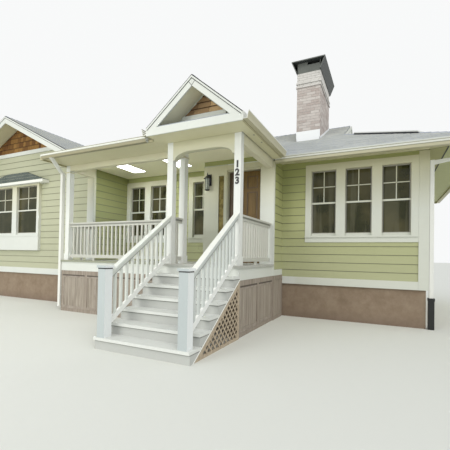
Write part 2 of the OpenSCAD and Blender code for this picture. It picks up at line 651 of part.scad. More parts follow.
module downspouts() color([0.93, 0.93, 0.90]) at_row() {
    x = wing_w + board + 5;
    bx(x, x + 70, -20, 60, 590, 3230);
    xe = right_x + board + eps;
    along_y(-20, 60, [[x, 3150], [x + 70, 3150], [xe + 70, 3285], [xe + 70, 3305],
        [xe, 3305], [xe, 3296], [x, 3212]]);
    bx(x - 15, x + 85, -35, 75, 0, 590);
    bx(port_cx + portico_half + board + 5, port_cx + portico_half + board + 70, gut_y + 0.3,
        gut_y + 65, 3407, 3500);
    lx = porch_x0 - 20;
    bx(lx - 75, lx - 5, -porch_d - 85, -porch_d - 5, 100, 3160);
    hull() {
        bx(lx - 75, lx - 5, -porch_d - 85, -porch_d - 5, 3159, 3160);
        bx(porch_x0 + 355, porch_x0 + 425, porch_y0 - board - 75, porch_y0 - board - 5, 3329, 3330);
    }
}

// chimney
module chimney_stack() color([0.55, 0.44, 0.40]) at_row() difference() {
    union() {
        bx(chim_x, chim_x + stack_w, chim_y, chim_y + stack_d, floor_z, stack_z);
        for (z = [stack_z - 380, stack_z - 280])
            bx(chim_x - 22, chim_x + stack_w + 22, chim_y - 22, chim_y + stack_d + 22, z, z + 45);
    }
    bx(chim_x + 120, chim_x + stack_w - 120, chim_y + 120, chim_y + stack_d - 120,
        stack_z - 1470, stack_z + 1);
}
module chimney_cap() color([0.55, 0.57, 0.57]) at_row() {
    x0 = chim_x;
    x1 = chim_x + stack_w;
    y0 = chim_y;
    y1 = chim_y + stack_d;
    difference() {
        bx(x0, x1, y0, y1, stack_z, lid_z - 95);
        bx(x0 + 20, x1 - 20, y0 + 20, y1 - 20, stack_z - 1, lid_z);
    }
    for (x = [x0, x1 - 20], y = [y0, y1 - 20]) bx(x, x + 20, y, y + 20, lid_z - 96, lid_z - 24);
    bx(x0 - 130, x1 + 130, y0 - 120, y1 + 130, lid_z - 25, lid_z);
    along_y(y0 - 110, y1 + 120, [[x0 - 20, stack_z], [x0 + 5, stack_z],
        [x0 - 110, lid_z - 24], [x0 - 130, lid_z - 24]]);
    along_y(y0 - 110, y1 + 120, [[x1 - 5, stack_z], [x1 + 20, stack_z],
        [x1 + 130, lid_z - 24], [x1 + 110, lid_z - 24]]);
}

// porch
module porch_floor() color([0.66, 0.66, 0.62]) at_row()
    plan(floor_z - 40, floor_z, [[porch_x0 - 20, -porch_d - 80], [stair_x0, -porch_d - 80],
        [stair_x0, floor_y0], [stair_x1, floor_y0], [stair_x1, -entry_d - 27],
        [-entry_w - 27, -entry_d - 27], [-entry_w - 27, -27], [left_x1 + 27, -27],
        [left_x1 + 27, -left_front - 27], [porch_x0 - 20, -left_front - 27]]);
module porch_rim() color([0.93, 0.93, 0.90]) at_row() {
    z0 = skirt_z;
    z1 = floor_z - 40;
    yf = -porch_d - 55;
    bx(porch_x0 - 15, stair_x0 - eps, yf, yf + board, z0, z1);
    bx(porch_x0 - 15, porch_x0 - 15 + board, yf + board + eps, -left_front - 27, z0, z1);
    bx(stair_x0 + 25, stair_x1 - 25, floor_y0 + 25, floor_y0 + 50, z0, z1);
    bx(stair_x1 - 50, stair_x1 - 25, floor_y0 + 52, -entry_d - 27, z0, z1);
    bx(stair_x0 + 25, stair_x0 + 50, floor_y0 + 52, yf - eps, z0, z1);
}
module porch_posts() color([0.95, 0.95, 0.93]) at_row() {
    for (p = [[port_x1 - post, -portico_d], [-portico_w, -portico_d],
        [-portico_w, -porch_d], [porch_x0, -porch_d]]) {
        bx(p[0], p[0] + post, p[1], p[1] + post, floor_z, ceil_z);
        difference() {
            bx(p[0] - 12, p[0] + post + 12, p[1] - 12, p[1] + post + 12, floor_z, floor_z + 150);
            bx(p[0], p[0] + post, p[1], p[1] + post, 0, ceil_z);
        }
    }
}
module porch_beams() color([0.94, 0.94, 0.90]) at_row() {
    bx(porch_x0 + post, -portico_w, -porch_d, -porch_d + post, beam_z, ceil_z);
    bx(porch_x0, porch_x0 + post, -porch_d + post, -left_front - board, beam_z, ceil_z);
    bx(port_x1 - post, port_x1, -portico_d + post, -entry_d - board, 3200, ceil_z);
    bx(-portico_w, -portico_w + post, -portico_d + post, -porch_d, 3200, ceil_z);
}
module arch_beam() color([0.95, 0.95, 0.92]) at_row() {
    x0 = -portico_w + post;
    x1 = port_x1 - post;
    leg = 40;
    r = 330;
    n = 12;
    h = arch_crown - arch_end;
    along_y(-portico_d, -portico_d + post, concat([[x0, ceil_z], [x0, arch_end]],
        [for (i = [0:n]) [x0 + leg + r * (1 - cos(i * 90 / n)), arch_end + h * sin(i * 90 / n)]],
        [for (i = [n:-1:0]) [x1 - leg - r * (1 - cos(i * 90 / n)), arch_end + h * sin(i * 90 / n)]],
        [[x1, arch_end], [x1, ceil_z]]));
}

// straight railing from (0, 0) to (len, 0)
module railing(len) {
    n = floor(len / bal_pitch);
    bx(0, len, -45, 45, rail_z - 35, rail_z);
    bx(0, len, -20, 20, rail_z - 95, rail_z - 35);
    bx(13, len - 13, -20, 20, floor_z + 60, floor_z + 130);
    for (i = [1:n - 1])
        bx(i * len / n - bal / 2, i * len / n + bal / 2, -bal / 2, bal / 2, floor_z + 129, rail_z - 94);
    m = max(1, floor(len / 900));
    for (i = [1:m]) bx(i * len / (m + 1) - 30, i * len / (m + 1) + 30, -20, 20, floor_z, floor_z + 61);
}
module porch_railings() color([0.95, 0.95, 0.93]) at_row() {
    c = post / 2;
    translate([porch_x0 + post, -porch_d + c, 0]) railing(-portico_w - porch_x0 - post);
    translate([porch_x0 + c, -porch_d + post, 0]) rotate([0, 0, 90])
        railing(porch_d - post - left_front - board);
    translate([port_x1 - post / 2, -portico_d + post, 0]) rotate([0, 0,
        90]) railing(portico_d - post - entry_d - board);
    translate([-portico_w + c, -portico_d + post, 0]) rotate([0, 0, 90]) railing(portico_d - post - porch_d);
}
module stair_railings() color([0.95, 0.95, 0.93]) at_row() {
    g = rise / tread;
    ya = floor_y0 - tread * (risers - 1) + 20;
    yb = -portico_d;
    for (x = [-portico_w + 5, -newel - 5]) {
        xc = x + newel / 2;
        bx(x, x + newel, ya, ya + newel, rise, 1130);
        bx(x - 15, x + newel + 15, ya - 15, ya + newel + 15, 1130, 1165);
        y0 = ya + newel;
        z0 = 2040 - g * (yb - y0);
        along_x(xc - 45, xc + 45, [[y0, z0 - 38], [yb, 2002], [yb, 2040], [y0, z0]]);
        along_x(xc - 20, xc + 20, [[y0, z0 - 110], [yb, 1930], [yb, 2003], [y0, z0 - 37]]);
        zb = z0 - 765;
        ye = yb - 12;
        ze = zb + g * (ye - y0);
        along_x(xc - 20, xc + 20, [[y0, zb], [ye, ze], [ye, ze + 85], [y0, zb + 85]]);
        n = floor((yb - y0) / bal_pitch);
        for (i = [1:n - 1]) {
            y = y0 + i * (yb - y0) / n;
            zc = z0 + g * (y - y0);
            along_x(xc - bal / 2, xc + bal / 2, [[y - bal / 2, zc - 700], [y + bal / 2, zc - 700],
                [y + bal / 2, zc - 90], [y - bal / 2, zc - 90]]);
        }
    }
}
function nose(k) = floor_y0 - tread * (risers - k);
module stair_treads() color([0.82, 0.82, 0.79]) at_row()
    for (k = [1:risers - 1])
        bx(stair_x0, stair_x1, nose(k), nose(k) + tread + (k == risers - 1 ? 25 : 45), k * rise - 40,
            k * rise);
// sloped line under the stair side boards
function under_stair(y) = (y - nose(1) - 120) * rise / tread;
module stair_risers() color([0.90, 0.90, 0.88]) at_row() {
    for (k = [1:risers - 1]) {
        zt = k * rise - 40.3;
        bx(stair_x0 + 5, stair_x1 - 5, nose(k) + 25, nose(k) + 45, k == 1 ? 0 : (k - 1) * rise + 0.3, zt);
        ya = nose(k) + 46;
        yb = nose(k) + tread + (k == risers - 1 ? 24 : 44);
        low = k == 1 ? [[ya, 0], [nose(1) + 120, 0]] : [[ya, under_stair(ya)]];
        for (x = [stair_x0 + 5, stair_x1 - 20])
            along_x(x, x + 15, concat(low, [[yb, under_stair(yb)], [yb, zt], [ya, zt]]));
    }
}
module lattice() color([0.42, 0.34, 0.28]) at_row() {
    ya = nose(1) + 150;
    yb = floor_y0 + 18;
    for (x = [stair_x0 + 8, stair_x1 - 28]) {
        along_x(x, x + 20, [[ya, 0], [ya + 100, 0], [yb, under_stair(yb) - 75], [yb, under_stair(yb)],
            [ya, under_stair(ya)]]);
        bx(x, x + 20, ya + 42, yb, 0, 45);
        bx(x, x + 20, yb - 60, yb, 0, under_stair(yb - 60) - 1);
        intersection() {
            along_x(x, x + 20, [[ya, 0], [yb, 0], [yb, under_stair(yb) - 20], [ya, 1]]);
            union() {
                for (i = [-8:14]) {
                    c = ya + i * 120;
                    along_x(x, x + 10, [[c, 0], [c + 35, 0], [c + 35 + 950, 950], [c + 950, 950]]);
                    along_x(x + 10, x + 20, [[c + 950, 0], [c + 985, 0], [c + 35, 950], [c, 950]]);
                }
            }
        }
    }
}
// panelled skirt facing +X (s = 1) or -X (s = -1)
module skirt_x(x, s, y0, y1, n) {
    zt = skirt_z;
    w = (y1 - y0) / n;
    a = min(x, x + s * 30);
    b = max(x, x + s * 30);
    bx(min(x, x + s * 12), max(x, x + s * 12), y0, y1, 0, zt);
    bx(a, b, y0, y1, 0, 70);
    bx(a, b, y0, y1, zt - 90, zt);
    for (i = [0:n]) bx(a, b, max(y0, y0 + i * w - 35), min(y1, y0 + i * w + 35), 0, zt);
}
// panelled skirt facing -Y
module skirt_y(y, x0, x1, n) {
    zt = skirt_z;
    w = (x1 - x0) / n;
    bx(x0, x1, y - 12, y, 0, zt);
    bx(x0, x1, y - 30, y, 0, 70);
    bx(x0, x1, y - 30, y, zt - 90, zt);
    for (i = [0:n]) bx(max(x0, x0 + i * w - 35), min(x1, x0 + i * w + 35), y - 30, y, 0, zt);
}
module skirting() color([0.40, 0.33, 0.28]) at_row() {
    yf = -porch_d - 30;
    skirt_x(stair_x1 - 57, 1, floor_y0 + 55, -entry_d - 30, 2);
    skirt_x(0.3, 1, -entry_d - 29.7, -board - 5, 1);
    skirt_y(yf, porch_x0 - 5, stair_x0 - 4, 4);
    skirt_x(porch_x0 + 20, -1, yf + 3, -left_front - 30, 1);
}
module lantern() color([0.08, 0.08, 0.08]) at_row() {
    y = -entry_d - board;
    x = -1522;
    bx(x - 45, x + 45, y - 15, y, 2930, 3190);
    bx(x - 12, x + 12, y - 120, y - 14, 3130, 3154);
    translate([x, y - 120, 2800]) cylinder(h = 25, r1 = 35, r2 = 60);
    translate([x, y - 120, 2824]) cylinder(h = 250, r = 52);
    translate([x, y - 120, 3073]) cylinder(h = 60, r1 = 90, r2 = 25);
    translate([x, y - 120, 3132]) cylinder(h = 60, r = 12);
}

foundation();
house_floor();
left_front_wall();
left_outer_wall();
left_porch_wall();
back_wall();
right_side_wall();
right_front_wall();
porch_back_wall();
entry_wall_left();
entry_wall_right();
entry_wall_over();
gable_shingles();
trim_boards();
window_trim();
left_window_box();
left_window_hood();
window_sashes();
window_glass();
door_frame();
front_door();
door_knob();
left_wing_roof();
main_roof();
porch_roof();
portico_roof();
porch_ceiling();
soffits();
fascias();
portico_gable();
gutters();
downspouts();
chimney_stack();
chimney_cap();
porch_floor();
porch_rim();
porch_posts();
porch_beams();
arch_beam();
porch_railings();
stair_railings();
stair_treads();
stair_risers();
lattice();
skirting();
lantern();
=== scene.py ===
import bpy, math, random
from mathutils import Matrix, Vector


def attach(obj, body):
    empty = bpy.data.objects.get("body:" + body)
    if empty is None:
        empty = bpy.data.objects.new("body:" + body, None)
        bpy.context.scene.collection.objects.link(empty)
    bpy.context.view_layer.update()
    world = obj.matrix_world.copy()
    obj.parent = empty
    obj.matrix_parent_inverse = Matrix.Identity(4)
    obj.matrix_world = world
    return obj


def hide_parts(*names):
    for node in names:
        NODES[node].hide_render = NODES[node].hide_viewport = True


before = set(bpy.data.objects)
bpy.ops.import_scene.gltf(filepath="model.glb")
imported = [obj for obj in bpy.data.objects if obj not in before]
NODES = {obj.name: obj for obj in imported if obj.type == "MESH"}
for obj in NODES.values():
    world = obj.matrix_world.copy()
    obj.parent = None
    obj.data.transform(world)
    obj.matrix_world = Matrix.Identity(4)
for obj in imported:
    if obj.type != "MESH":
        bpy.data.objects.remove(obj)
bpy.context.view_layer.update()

# P(), wall() and roof() take the house plan in millimetres: x to the right, y to the back and z up, from the foot
# of the corner between the right block and the porch. Materials and piles work in the row frame, in metres.
MX, MY = -3630.0, 1162.5                            # the row frame's origin in the house plan
SIDING_Z, SIDING_ROW = 0.5385, 0.1732               # a lower edge and the height of the siding rows, m
STAIR_RISE, STAIR_SLOPE = 0.16714, 0.66857
NEWEL_Y = -5.0                                      # the stair newels stand in front of this, m
X, Y, Z = Vector((1, 0, 0)), Vector((0, 1, 0)), Vector((0, 0, 1))


def P(x, y, z):
    """A point of the house plan in millimetres, in the row frame in metres."""
    return Vector(((x - MX) / 1000, (y - MY) / 1000, z / 1000))


# materials
class Mat:
    """A procedural material, read in the row frame. It is painted once, and coats go over that."""
    def __init__(self, name, color, rough=0.6, metal=0.0, spec=0.4):
        self.m = bpy.data.materials.new(name)
        self.m.use_nodes = True
        self.m.diffuse_color = (*color, 1)
        self.t = self.m.node_tree
        self.b = self.t.nodes["Principled BSDF"]
        self.set("Base Color", (*color, 1))
        self.set("Roughness", rough)
        self.set("Metallic", metal)
        self.set("Specular IOR Level", spec)
        self.co = self.t.nodes.new("ShaderNodeTexCoord").outputs["Object"]
        self.normal = None

    def set(self, key, value):
        self.b.inputs[key].default_value = value

    def add(self, kind, ins=(), **props):
        n = self.t.nodes.new(kind)
        for k, v in props.items():
            setattr(n, k, v)
        for k, v in dict(ins).items():
            if isinstance(v, bpy.types.NodeSocket):
                self.t.links.new(v, n.inputs[k])
            else:
                n.inputs[k].default_value = v
        return n

    def at(self, axis):
        return self.add("ShaderNodeSeparateXYZ", {0: self.co}).outputs[axis]

    def facing(self, axis=2):
        """One part of the face normal, the upward one by default."""
        n = self.add("ShaderNodeNewGeometry").outputs["True Normal"]
        return self.add("ShaderNodeSeparateXYZ", {0: n}).outputs[axis]

    def tint(self):
        """The value from 0 to 1 that each board, shingle or brick carries."""
        return self.add("ShaderNodeAttribute", attribute_name="tint").outputs["Fac"]

    def noise(self, scale, detail=4, rough=0.5, stretch=(1, 1, 1)):
        m = self.add("ShaderNodeMapping", {"Vector": self.co, "Scale": stretch})
        return self.add("ShaderNodeTexNoise", {"Vector": m.outputs[0], "Scale": scale, "Detail": detail,
                                               "Roughness": rough}).outputs["Fac"]

    def ramp(self, fac, lo, hi, a=0.0, b=1.0):
        return self.add("ShaderNodeMapRange", {"Value": fac, "From Min": lo, "From Max": hi, "To Min": a,
                                               "To Max": b}).outputs[0]

    def math(self, op, a, b=0.0):
        return self.add("ShaderNodeMath", {0: a, 1: b}, operation=op).outputs[0]

    def times(self, first, *rest):
        for v in rest:
            first = self.math("MULTIPLY", first, v)
        return first

    def over(self, v, lo):
        return self.math("GREATER_THAN", v, lo)

    def below(self, v, hi):
        return self.math("LESS_THAN", v, hi)

    def between(self, v, lo, hi):
        return self.times(self.over(v, lo), self.below(v, hi))

    def part(self, v, start, pitch):
        """How far a value is through its row, from 0 to 1. A start some rows low keeps the sum positive."""
        return self.math("FRACT", self.math("DIVIDE", self.math("SUBTRACT", v, start), pitch))

    def lines(self, axis, pitch, width=0.08):
        """0 in narrow grooves across an axis, 1 elsewhere."""
        f = self.part(self.at(axis), -50.0, pitch)
        return self.times(self.ramp(f, 0, width), self.ramp(f, 1, 1 - width))

    def along_stairs(self, lo, hi):
        """1 between two lines that rise with the stairs, given by their height where y is 0."""
        t = self.math("SUBTRACT", self.at(2), self.times(self.at(1), STAIR_SLOPE))
        return self.between(t, lo, hi)

    def mix(self, fac, a, b, mode="MIX"):
        n = self.add("ShaderNodeMix", {"Factor": fac}, data_type="RGBA", blend_type=mode)
        for s, v in ((n.inputs[6], a), (n.inputs[7], b)):
            if isinstance(v, bpy.types.NodeSocket):
                self.t.links.new(v, s)
            else:
                s.default_value = (*v, 1)
        return n.outputs[2]

    def paint(self, color):
        self.t.links.new(color, self.b.inputs["Base Color"])

    def coat(self, fac, color, mode="MIX"):
        """Another colour over what is painted so far."""
        self.paint(self.mix(fac, self.b.inputs["Base Color"].links[0].from_socket, color, mode))

    def rough(self, fac):
        self.t.links.new(fac, self.b.inputs["Roughness"])

    def bump(self, height, strength, dist):
        n = self.add("ShaderNodeBump", {"Height": height, "Strength": strength, "Distance": dist})
        if self.normal:
            self.t.links.new(self.normal, n.inputs["Normal"])
        self.normal = n.outputs[0]
        self.t.links.new(self.normal, self.b.inputs["Normal"])

    def use(self, *nodes):
        for n in nodes:
            o = NODES[n]
            o.data.materials.clear()
            o.data.materials.append(self.m)


def shade(c, k):
    return tuple(min(1, v * k) for v in c)


def painted(name, color, wear=0.25, grain=(1, 1, 1), rough=0.5, eaves=None, top=3.366):
    """Worn paint. An eaves colour adds painted shade: the porch recess, the right block's trim, under the eaves.
    """
    m = Mat(name, color, rough)
    dirt = m.ramp(m.noise(1.3, 6, 0.6), 0.35, 0.75)
    fine = m.ramp(m.noise(40, 5, 0.6, grain), 0.3, 0.7)
    m.paint(m.mix(m.times(dirt, wear), color, shade(color, 0.78)))
    m.coat(m.times(fine, wear * 0.5), shade(color, 0.86))
    if eaves:
        x, y, z = (m.at(i) for i in range(3))
        # painted shade: in the porch recess, a little on the right block's trim, and growing towards the eaves
        recess = m.times(m.ramp(x, 1.12, 1.13, 0, 0.85), m.below(x, 2.57), m.between(y, -1.86, -1.1))
        m.coat(recess, (0.45, 0.46, 0.365))
        m.coat(m.ramp(x, 3.9, 4.0, 0, 0.35), (0.55, 0.56, 0.44))
        m.coat(m.times(m.ramp(z, 2.3, 3.35, 0, 0.85), m.below(z, top)), eaves)
    m.rough(m.ramp(fine, 0, 1, rough - 0.08, rough + 0.12))
    m.bump(fine, 0.12, 0.002)
    return m


WHITE = (0.68, 0.70, 0.655)
CREAM = (0.74, 0.71, 0.53)
# white paint in painted shade, for the fascias
SHADED_TAN = (0.475, 0.44, 0.275)
SAGE = (0.46, 0.468, 0.33)
# how the grain of the paint or wood is stretched
ALONG, UPRIGHT, RAILS, EVEN = (0.06, 1, 1), (1, 1, 0.06), (1, 1, 0.2), (0.3, 0.3, 0.3)

white = painted("white_paint", WHITE, eaves=(0.60, 0.57, 0.37))
white_long = painted("white_boards_long", WHITE, 0.3, ALONG, eaves=(0.54, 0.515, 0.325), top=3.46)
cream = painted("cream_boards", CREAM, 0.25, ALONG)
# the fascias' tan is painted shade; the rakes above the eaves are white
fascia = painted("fascia_boards", SHADED_TAN, 0.25, ALONG)
fascia.coat(fascia.over(fascia.at(2), 3.406), shade(WHITE, 0.95))           # the rakes, above the eaves

rail = painted("rail_paint", (0.54, 0.58, 0.57), 0.25, RAILS)
flight, newels = rail.over(rail.at(1), NEWEL_Y), rail.below(rail.at(1), NEWEL_Y)
# painted light: on upward faces, and more on the left of the flight
rail.coat(rail.ramp(rail.facing(), 0.2, 0.7), (0.86, 0.86, 0.81))
rail.coat(rail.times(rail.ramp(rail.at(0), 2.6, 2.7, 0.85, 0.35), flight), (0.74, 0.765, 0.71))
for lo, hi, k, tone in ((3.652, 3.744, 0.85, (0.88, 0.89, 0.86)),           # painted light on the bottom rails
                        (4.310, 4.327, 0.7, (0.20, 0.205, 0.19))):          # painted shadow under the top rails
    rail.coat(rail.times(rail.along_stairs(lo, hi), flight, k), tone)
for axis, sign, k, tone in ((0, 1, 0.95, (0.82, 0.85, 0.85)),               # painted light on the newels' right faces
                            (1, -1, 0.6, (0.43, 0.48, 0.49))):              # painted shade on their front faces
    face = rail.over(rail.times(rail.facing(axis), sign), 0.5)
    rail.coat(rail.times(face, newels, k), tone)
# The porch rails are a greyer white, painted shade, with a painted shadow under the top rail.
porch_rail = painted("rail_paint_porch", (0.555, 0.555, 0.50), 0.25, RAILS)
joint = porch_rail.between(porch_rail.at(2), 1.970, 1.996)                  # painted shadow under the top rail
porch_rail.coat(porch_rail.times(joint, 0.6), (0.17, 0.17, 0.14))
white_post = painted("white_posts", (0.77, 0.785, 0.75), 0.22, UPRIGHT)
metal_white = painted("white_sheet_metal", (0.78, 0.785, 0.74), 0.25, EVEN, 0.38)
flashing = painted("flashing_metal", (0.94, 0.95, 0.94), 0.12, EVEN, 0.4)

# Gutters have painted shade on their undersides, deeper from the porch leftwards, and a pale rolled rim with
# painted shadow lines from RIM_Z up. The porch's rim lies 25 mm higher, and the portico's gutters, which are in
# front but right of the porch, have none.
RIM_Z, PORCH_END = 3.350, 2.03
gutter = painted("gutter_paint", (0.72, 0.73, 0.68), 0.25, EVEN, 0.38)
under = gutter.mix(gutter.over(gutter.at(0), PORCH_END), (0.31, 0.285, 0.18), (0.50, 0.475, 0.33))
# painted shade on the undersides
gutter.coat(gutter.below(gutter.facing(), -0.1), under)
front = gutter.below(gutter.at(1), -1.9)
porch = gutter.times(front, gutter.below(gutter.at(0), PORCH_END))
z = gutter.math("SUBTRACT", gutter.at(2), gutter.times(porch, 0.025))
portico = gutter.math("SUBTRACT", front, porch)
rim = gutter.times(gutter.over(z, RIM_Z), gutter.math("SUBTRACT", 1.0, portico))
gutter.coat(rim, (0.80, 0.81, 0.75))
# painted shadow lines in the rim
gutter.coat(gutter.times(rim, gutter.below(gutter.part(z, RIM_Z, 0.040), 0.36)), (0.33, 0.32, 0.24))

ceiling = painted("ceiling_boards", (0.98, 0.945, 0.70), 0.2, ALONG)
ceiling.bump(ceiling.lines(1, 0.09), 0.5, 0.004)
soffit = painted("soffit_boards", (0.69, 0.66, 0.45), 0.22, ALONG)
soffit.bump(soffit.lines(1, 0.12), 0.35, 0.003)
# painted shade on the right eave, less on its outer board
soffit.coat(soffit.over(soffit.at(0), 6.49), (0.40, 0.385, 0.16))           # the right eave, and its outer board
soffit.coat(soffit.over(soffit.at(0), 6.79), (0.49, 0.51, 0.26))

siding = Mat("lap_siding", SAGE, 0.62)
x, z = siding.at(0), siding.at(2)
grain = siding.ramp(siding.noise(34, 6, 0.6, (0.12, 0.12, 1)), 0.3, 0.72)
siding.paint(siding.mix(siding.ramp(siding.noise(0.9, 5), 0.35, 0.7, 0, 0.30), SAGE, shade(SAGE, 0.82)))
siding.coat(siding.ramp(siding.tint(), 0, 1, 0.0, 0.28), shade(SAGE, 1.16))
siding.coat(siding.times(grain, 0.22), shade(SAGE, 0.80))
east = siding.over(x, -1.0)                                                 # the porch and all right of it
# painted shade: olive, growing towards the eaves, from the porch rightwards
siding.coat(siding.times(east, siding.ramp(z, 0.9, 3.2, 0.35, 0.85)), (0.365, 0.385, 0.13))
# painted shade on the porch's left wall, deeper higher up
porch_side = siding.times(siding.ramp(z, 1.9, 3.1), siding.between(x, -1.0, -0.9))
siding.coat(porch_side, (0.68, 0.68, 0.62), "MULTIPLY")
# painted shadow under the lap of each row
lap = siding.ramp(siding.part(z, SIDING_Z - 20 * SIDING_ROW, SIDING_ROW), 0.875, 0.965, 0, 0.78)
head = siding.times(siding.over(z, 3.455), east)                            # gets no painted lap shadows
siding.coat(siding.times(lap, siding.math("SUBTRACT", 1.0, head)), shade(SAGE, 0.24))
siding.bump(grain, 0.25, 0.003)


def shingled(name, base, dark, light, speck=0.5, edge=3.458):
    """Roof shingles, with pale undersides and a pale edge below a height."""
    m = Mat(name, base, 0.9, 0, 0.25)
    grit = m.noise(420, 2, 0.7)
    m.paint(m.mix(m.tint(), dark, light))
    m.coat(m.ramp(m.noise(0.7, 5, 0.6), 0.35, 0.7, 0, 0.45), shade(base, 0.72))
    m.coat(m.ramp(grit, 0.4, 0.68, 0, speck), shade(light, 1.25))
    m.coat(m.below(m.facing(), -0.2), (0.86, 0.83, 0.64))
    m.coat(m.below(m.at(2), edge), (0.76, 0.77, 0.72))
    m.bump(grit, 0.5, 0.003)
    return m


roofing = shingled("asphalt_shingles", (0.36, 0.39, 0.42), (0.275, 0.305, 0.34), (0.43, 0.46, 0.50))
hooding = shingled("slate_shingles", (0.105, 0.125, 0.115), (0.09, 0.11, 0.10), (0.13, 0.15, 0.135), 0.15, 3.344)


def shakes(name, dark, light, start, row):
    """Cedar shingles, dark at the top of each row, where the next row's edge throws its shade."""
    m = Mat(name, dark, 0.8)
    grain = m.ramp(m.noise(60, 6, 0.65, (1, 1, 0.08)), 0.3, 0.7)
    m.paint(m.mix(m.tint(), dark, light))
    m.coat(m.times(grain, 0.35), shade(dark, 0.75))
    m.coat(m.ramp(m.part(m.at(2), start - 9 * row, row), 0.80, 0.95, 0, 0.75), shade(dark, 0.3))
    m.bump(grain, 0.5, 0.004)
    return m


cedar = shakes("cedar_shingles", (0.125, 0.050, 0.013), (0.33, 0.178, 0.048), 4.28, 0.15)
cedar_pale = shakes("cedar_shingles_pale", (0.21, 0.12, 0.06), (0.64, 0.45, 0.24), 3.778, 0.098)

brick = Mat("brick_faces", (0.35, 0.27, 0.24), 0.88)
grit = brick.noise(55, 5, 0.65)
brick.paint(brick.mix(brick.tint(), (0.41, 0.33, 0.295), (0.64, 0.585, 0.54)))
brick.coat(brick.ramp(grit, 0.4, 0.7, 0, 0.6), (0.64, 0.60, 0.56))
brick.coat(brick.ramp(brick.at(2), 5.68, 5.72, 0, 0.72), (0.74, 0.73, 0.69))             # the chimney's head
brick.bump(grit, 0.6, 0.006)
mortar = Mat("mortar", (0.40, 0.37, 0.34), 0.95)
grit = mortar.noise(150, 4, 0.7)
mortar.paint(mortar.mix(mortar.ramp(grit, 0.35, 0.7), (0.44, 0.42, 0.39), (0.60, 0.58, 0.54)))
mortar.bump(grit, 0.7, 0.004)
parging = Mat("parged_base", (0.27, 0.195, 0.15), 0.93)
stain = parging.ramp(parging.noise(4, 7, 0.7), 0.3, 0.7)
parging.paint(parging.mix(stain, (0.218, 0.158, 0.108), (0.308, 0.239, 0.172)))
parging.coat(parging.ramp(parging.at(2), 0.0, 0.25, 0.6, 0.0), (0.18, 0.13, 0.10))       # damp foot
parging.bump(parging.noise(70, 5, 0.7), 0.6, 0.008)


def wooden(name, dark, light, stretch, scale=22, rough=0.6, bump=0.5):
    m = Mat(name, shade(dark, 1.2), rough)
    grain = m.noise(scale, 7, 0.65, stretch)
    m.paint(m.mix(m.ramp(grain, 0.32, 0.68), dark, light))
    m.bump(grain, bump, 0.004)
    return m


deck = wooden("deck_boards", (0.40, 0.405, 0.37), (0.54, 0.54, 0.50), (0.08, 1, 1))
deck.bump(deck.lines(1, 0.083), 0.9, 0.006)
# painted shade along the front of the floor, left of the stairs
front_shade = deck.times(deck.below(deck.at(0), 1.9), deck.below(deck.at(1), -2.9), 0.75)
deck.coat(front_shade, (0.25, 0.265, 0.175))
inner = wooden("inner_boards", (0.22, 0.15, 0.09), (0.33, 0.23, 0.14), (0.08, 1, 1))
door_wood = wooden("door_wood", (0.125, 0.077, 0.022), (0.195, 0.12, 0.04), UPRIGHT, 30, 0.42, 0.25)
door_wood.set("Specular IOR Level", 0.2)
# a darker wood, painted shade on the door's mouldings and left edge
door_shade = wooden("door_wood_shaded", (0.075, 0.047, 0.026), (0.115, 0.075, 0.042), UPRIGHT, 30, 0.45, 0.25)
skirt = wooden("skirt_boards", (0.23, 0.19, 0.15), (0.37, 0.32, 0.27), UPRIGHT, 26, 0.8)
panel = wooden("skirt_panel_boards", (0.245, 0.208, 0.168), (0.41, 0.36, 0.30), UPRIGHT, 26, 0.8)
frames = wooden("skirt_frame_boards", (0.26, 0.22, 0.18), (0.39, 0.34, 0.29), EVEN, 26, 0.8)
frames.coat(frames.times(frames.over(frames.at(2), 0.810), 0.85), (0.07, 0.055, 0.045))  # painted shadow under the deck
slats = wooden("lattice_slats", (0.36, 0.29, 0.205), (0.54, 0.455, 0.34), (1, 1, 1), 18, 0.8)

tread = painted("tread_paint", (0.73, 0.745, 0.71), 0.4, (0.08, 1, 1), 0.55)
riser = painted("riser_paint", (0.51, 0.52, 0.495), 0.4, (0.08, 1, 1), 0.55)
# painted shadow under each nosing
riser.coat(riser.ramp(riser.part(riser.at(2), 0, STAIR_RISE), 0.64, 0.69, 0, 0.85), (0.20, 0.20, 0.18))
riser.coat(riser.along_stairs(3.36, 3.396), (0.88, 0.88, 0.84))             # painted light on the side boards' lower edge
sheet = Mat("cap_sheet", (0.24, 0.25, 0.23), 0.5)
stain = sheet.ramp(sheet.noise(3, 6, 0.6), 0.35, 0.7)
sheet.paint(sheet.mix(stain, (0.16, 0.17, 0.152), (0.118, 0.127, 0.114)))
# painted shade on the undersides
sheet.coat(sheet.below(sheet.facing(), -0.15), (0.055, 0.06, 0.055))
sheet.bump(sheet.noise(40, 5), 0.12, 0.002)
black = painted("black_metal", (0.022, 0.022, 0.024), 0.3, (1, 1, 1), 0.4)
pipe = painted("standpipe", (0.016, 0.017, 0.016), 0.3, RAILS)
brass = Mat("brass", (0.60, 0.44, 0.16), 0.28, 1.0)
brass.rough(brass.ramp(brass.noise(30), 0.3, 0.7, 0.2, 0.42))
# black for the painted shadow lines round the panes, and for the soffit's joints
joint_and_shadow_black = painted("joint_and_shadow_lines", (0.05, 0.055, 0.045), 0.2, (1, 1, 1), 0.6)
# the sashes' white in painted shade, a dark taupe
sash = painted("sash_paint_shaded", (0.30, 0.285, 0.235), 0.2)

pane = Mat("window_glass", (0.04, 0.04, 0.012), 0.03, 0, 0.2)
wave = pane.noise(1.6, 3, 0.5)
pane.bump(wave, 0.06, 0.02)
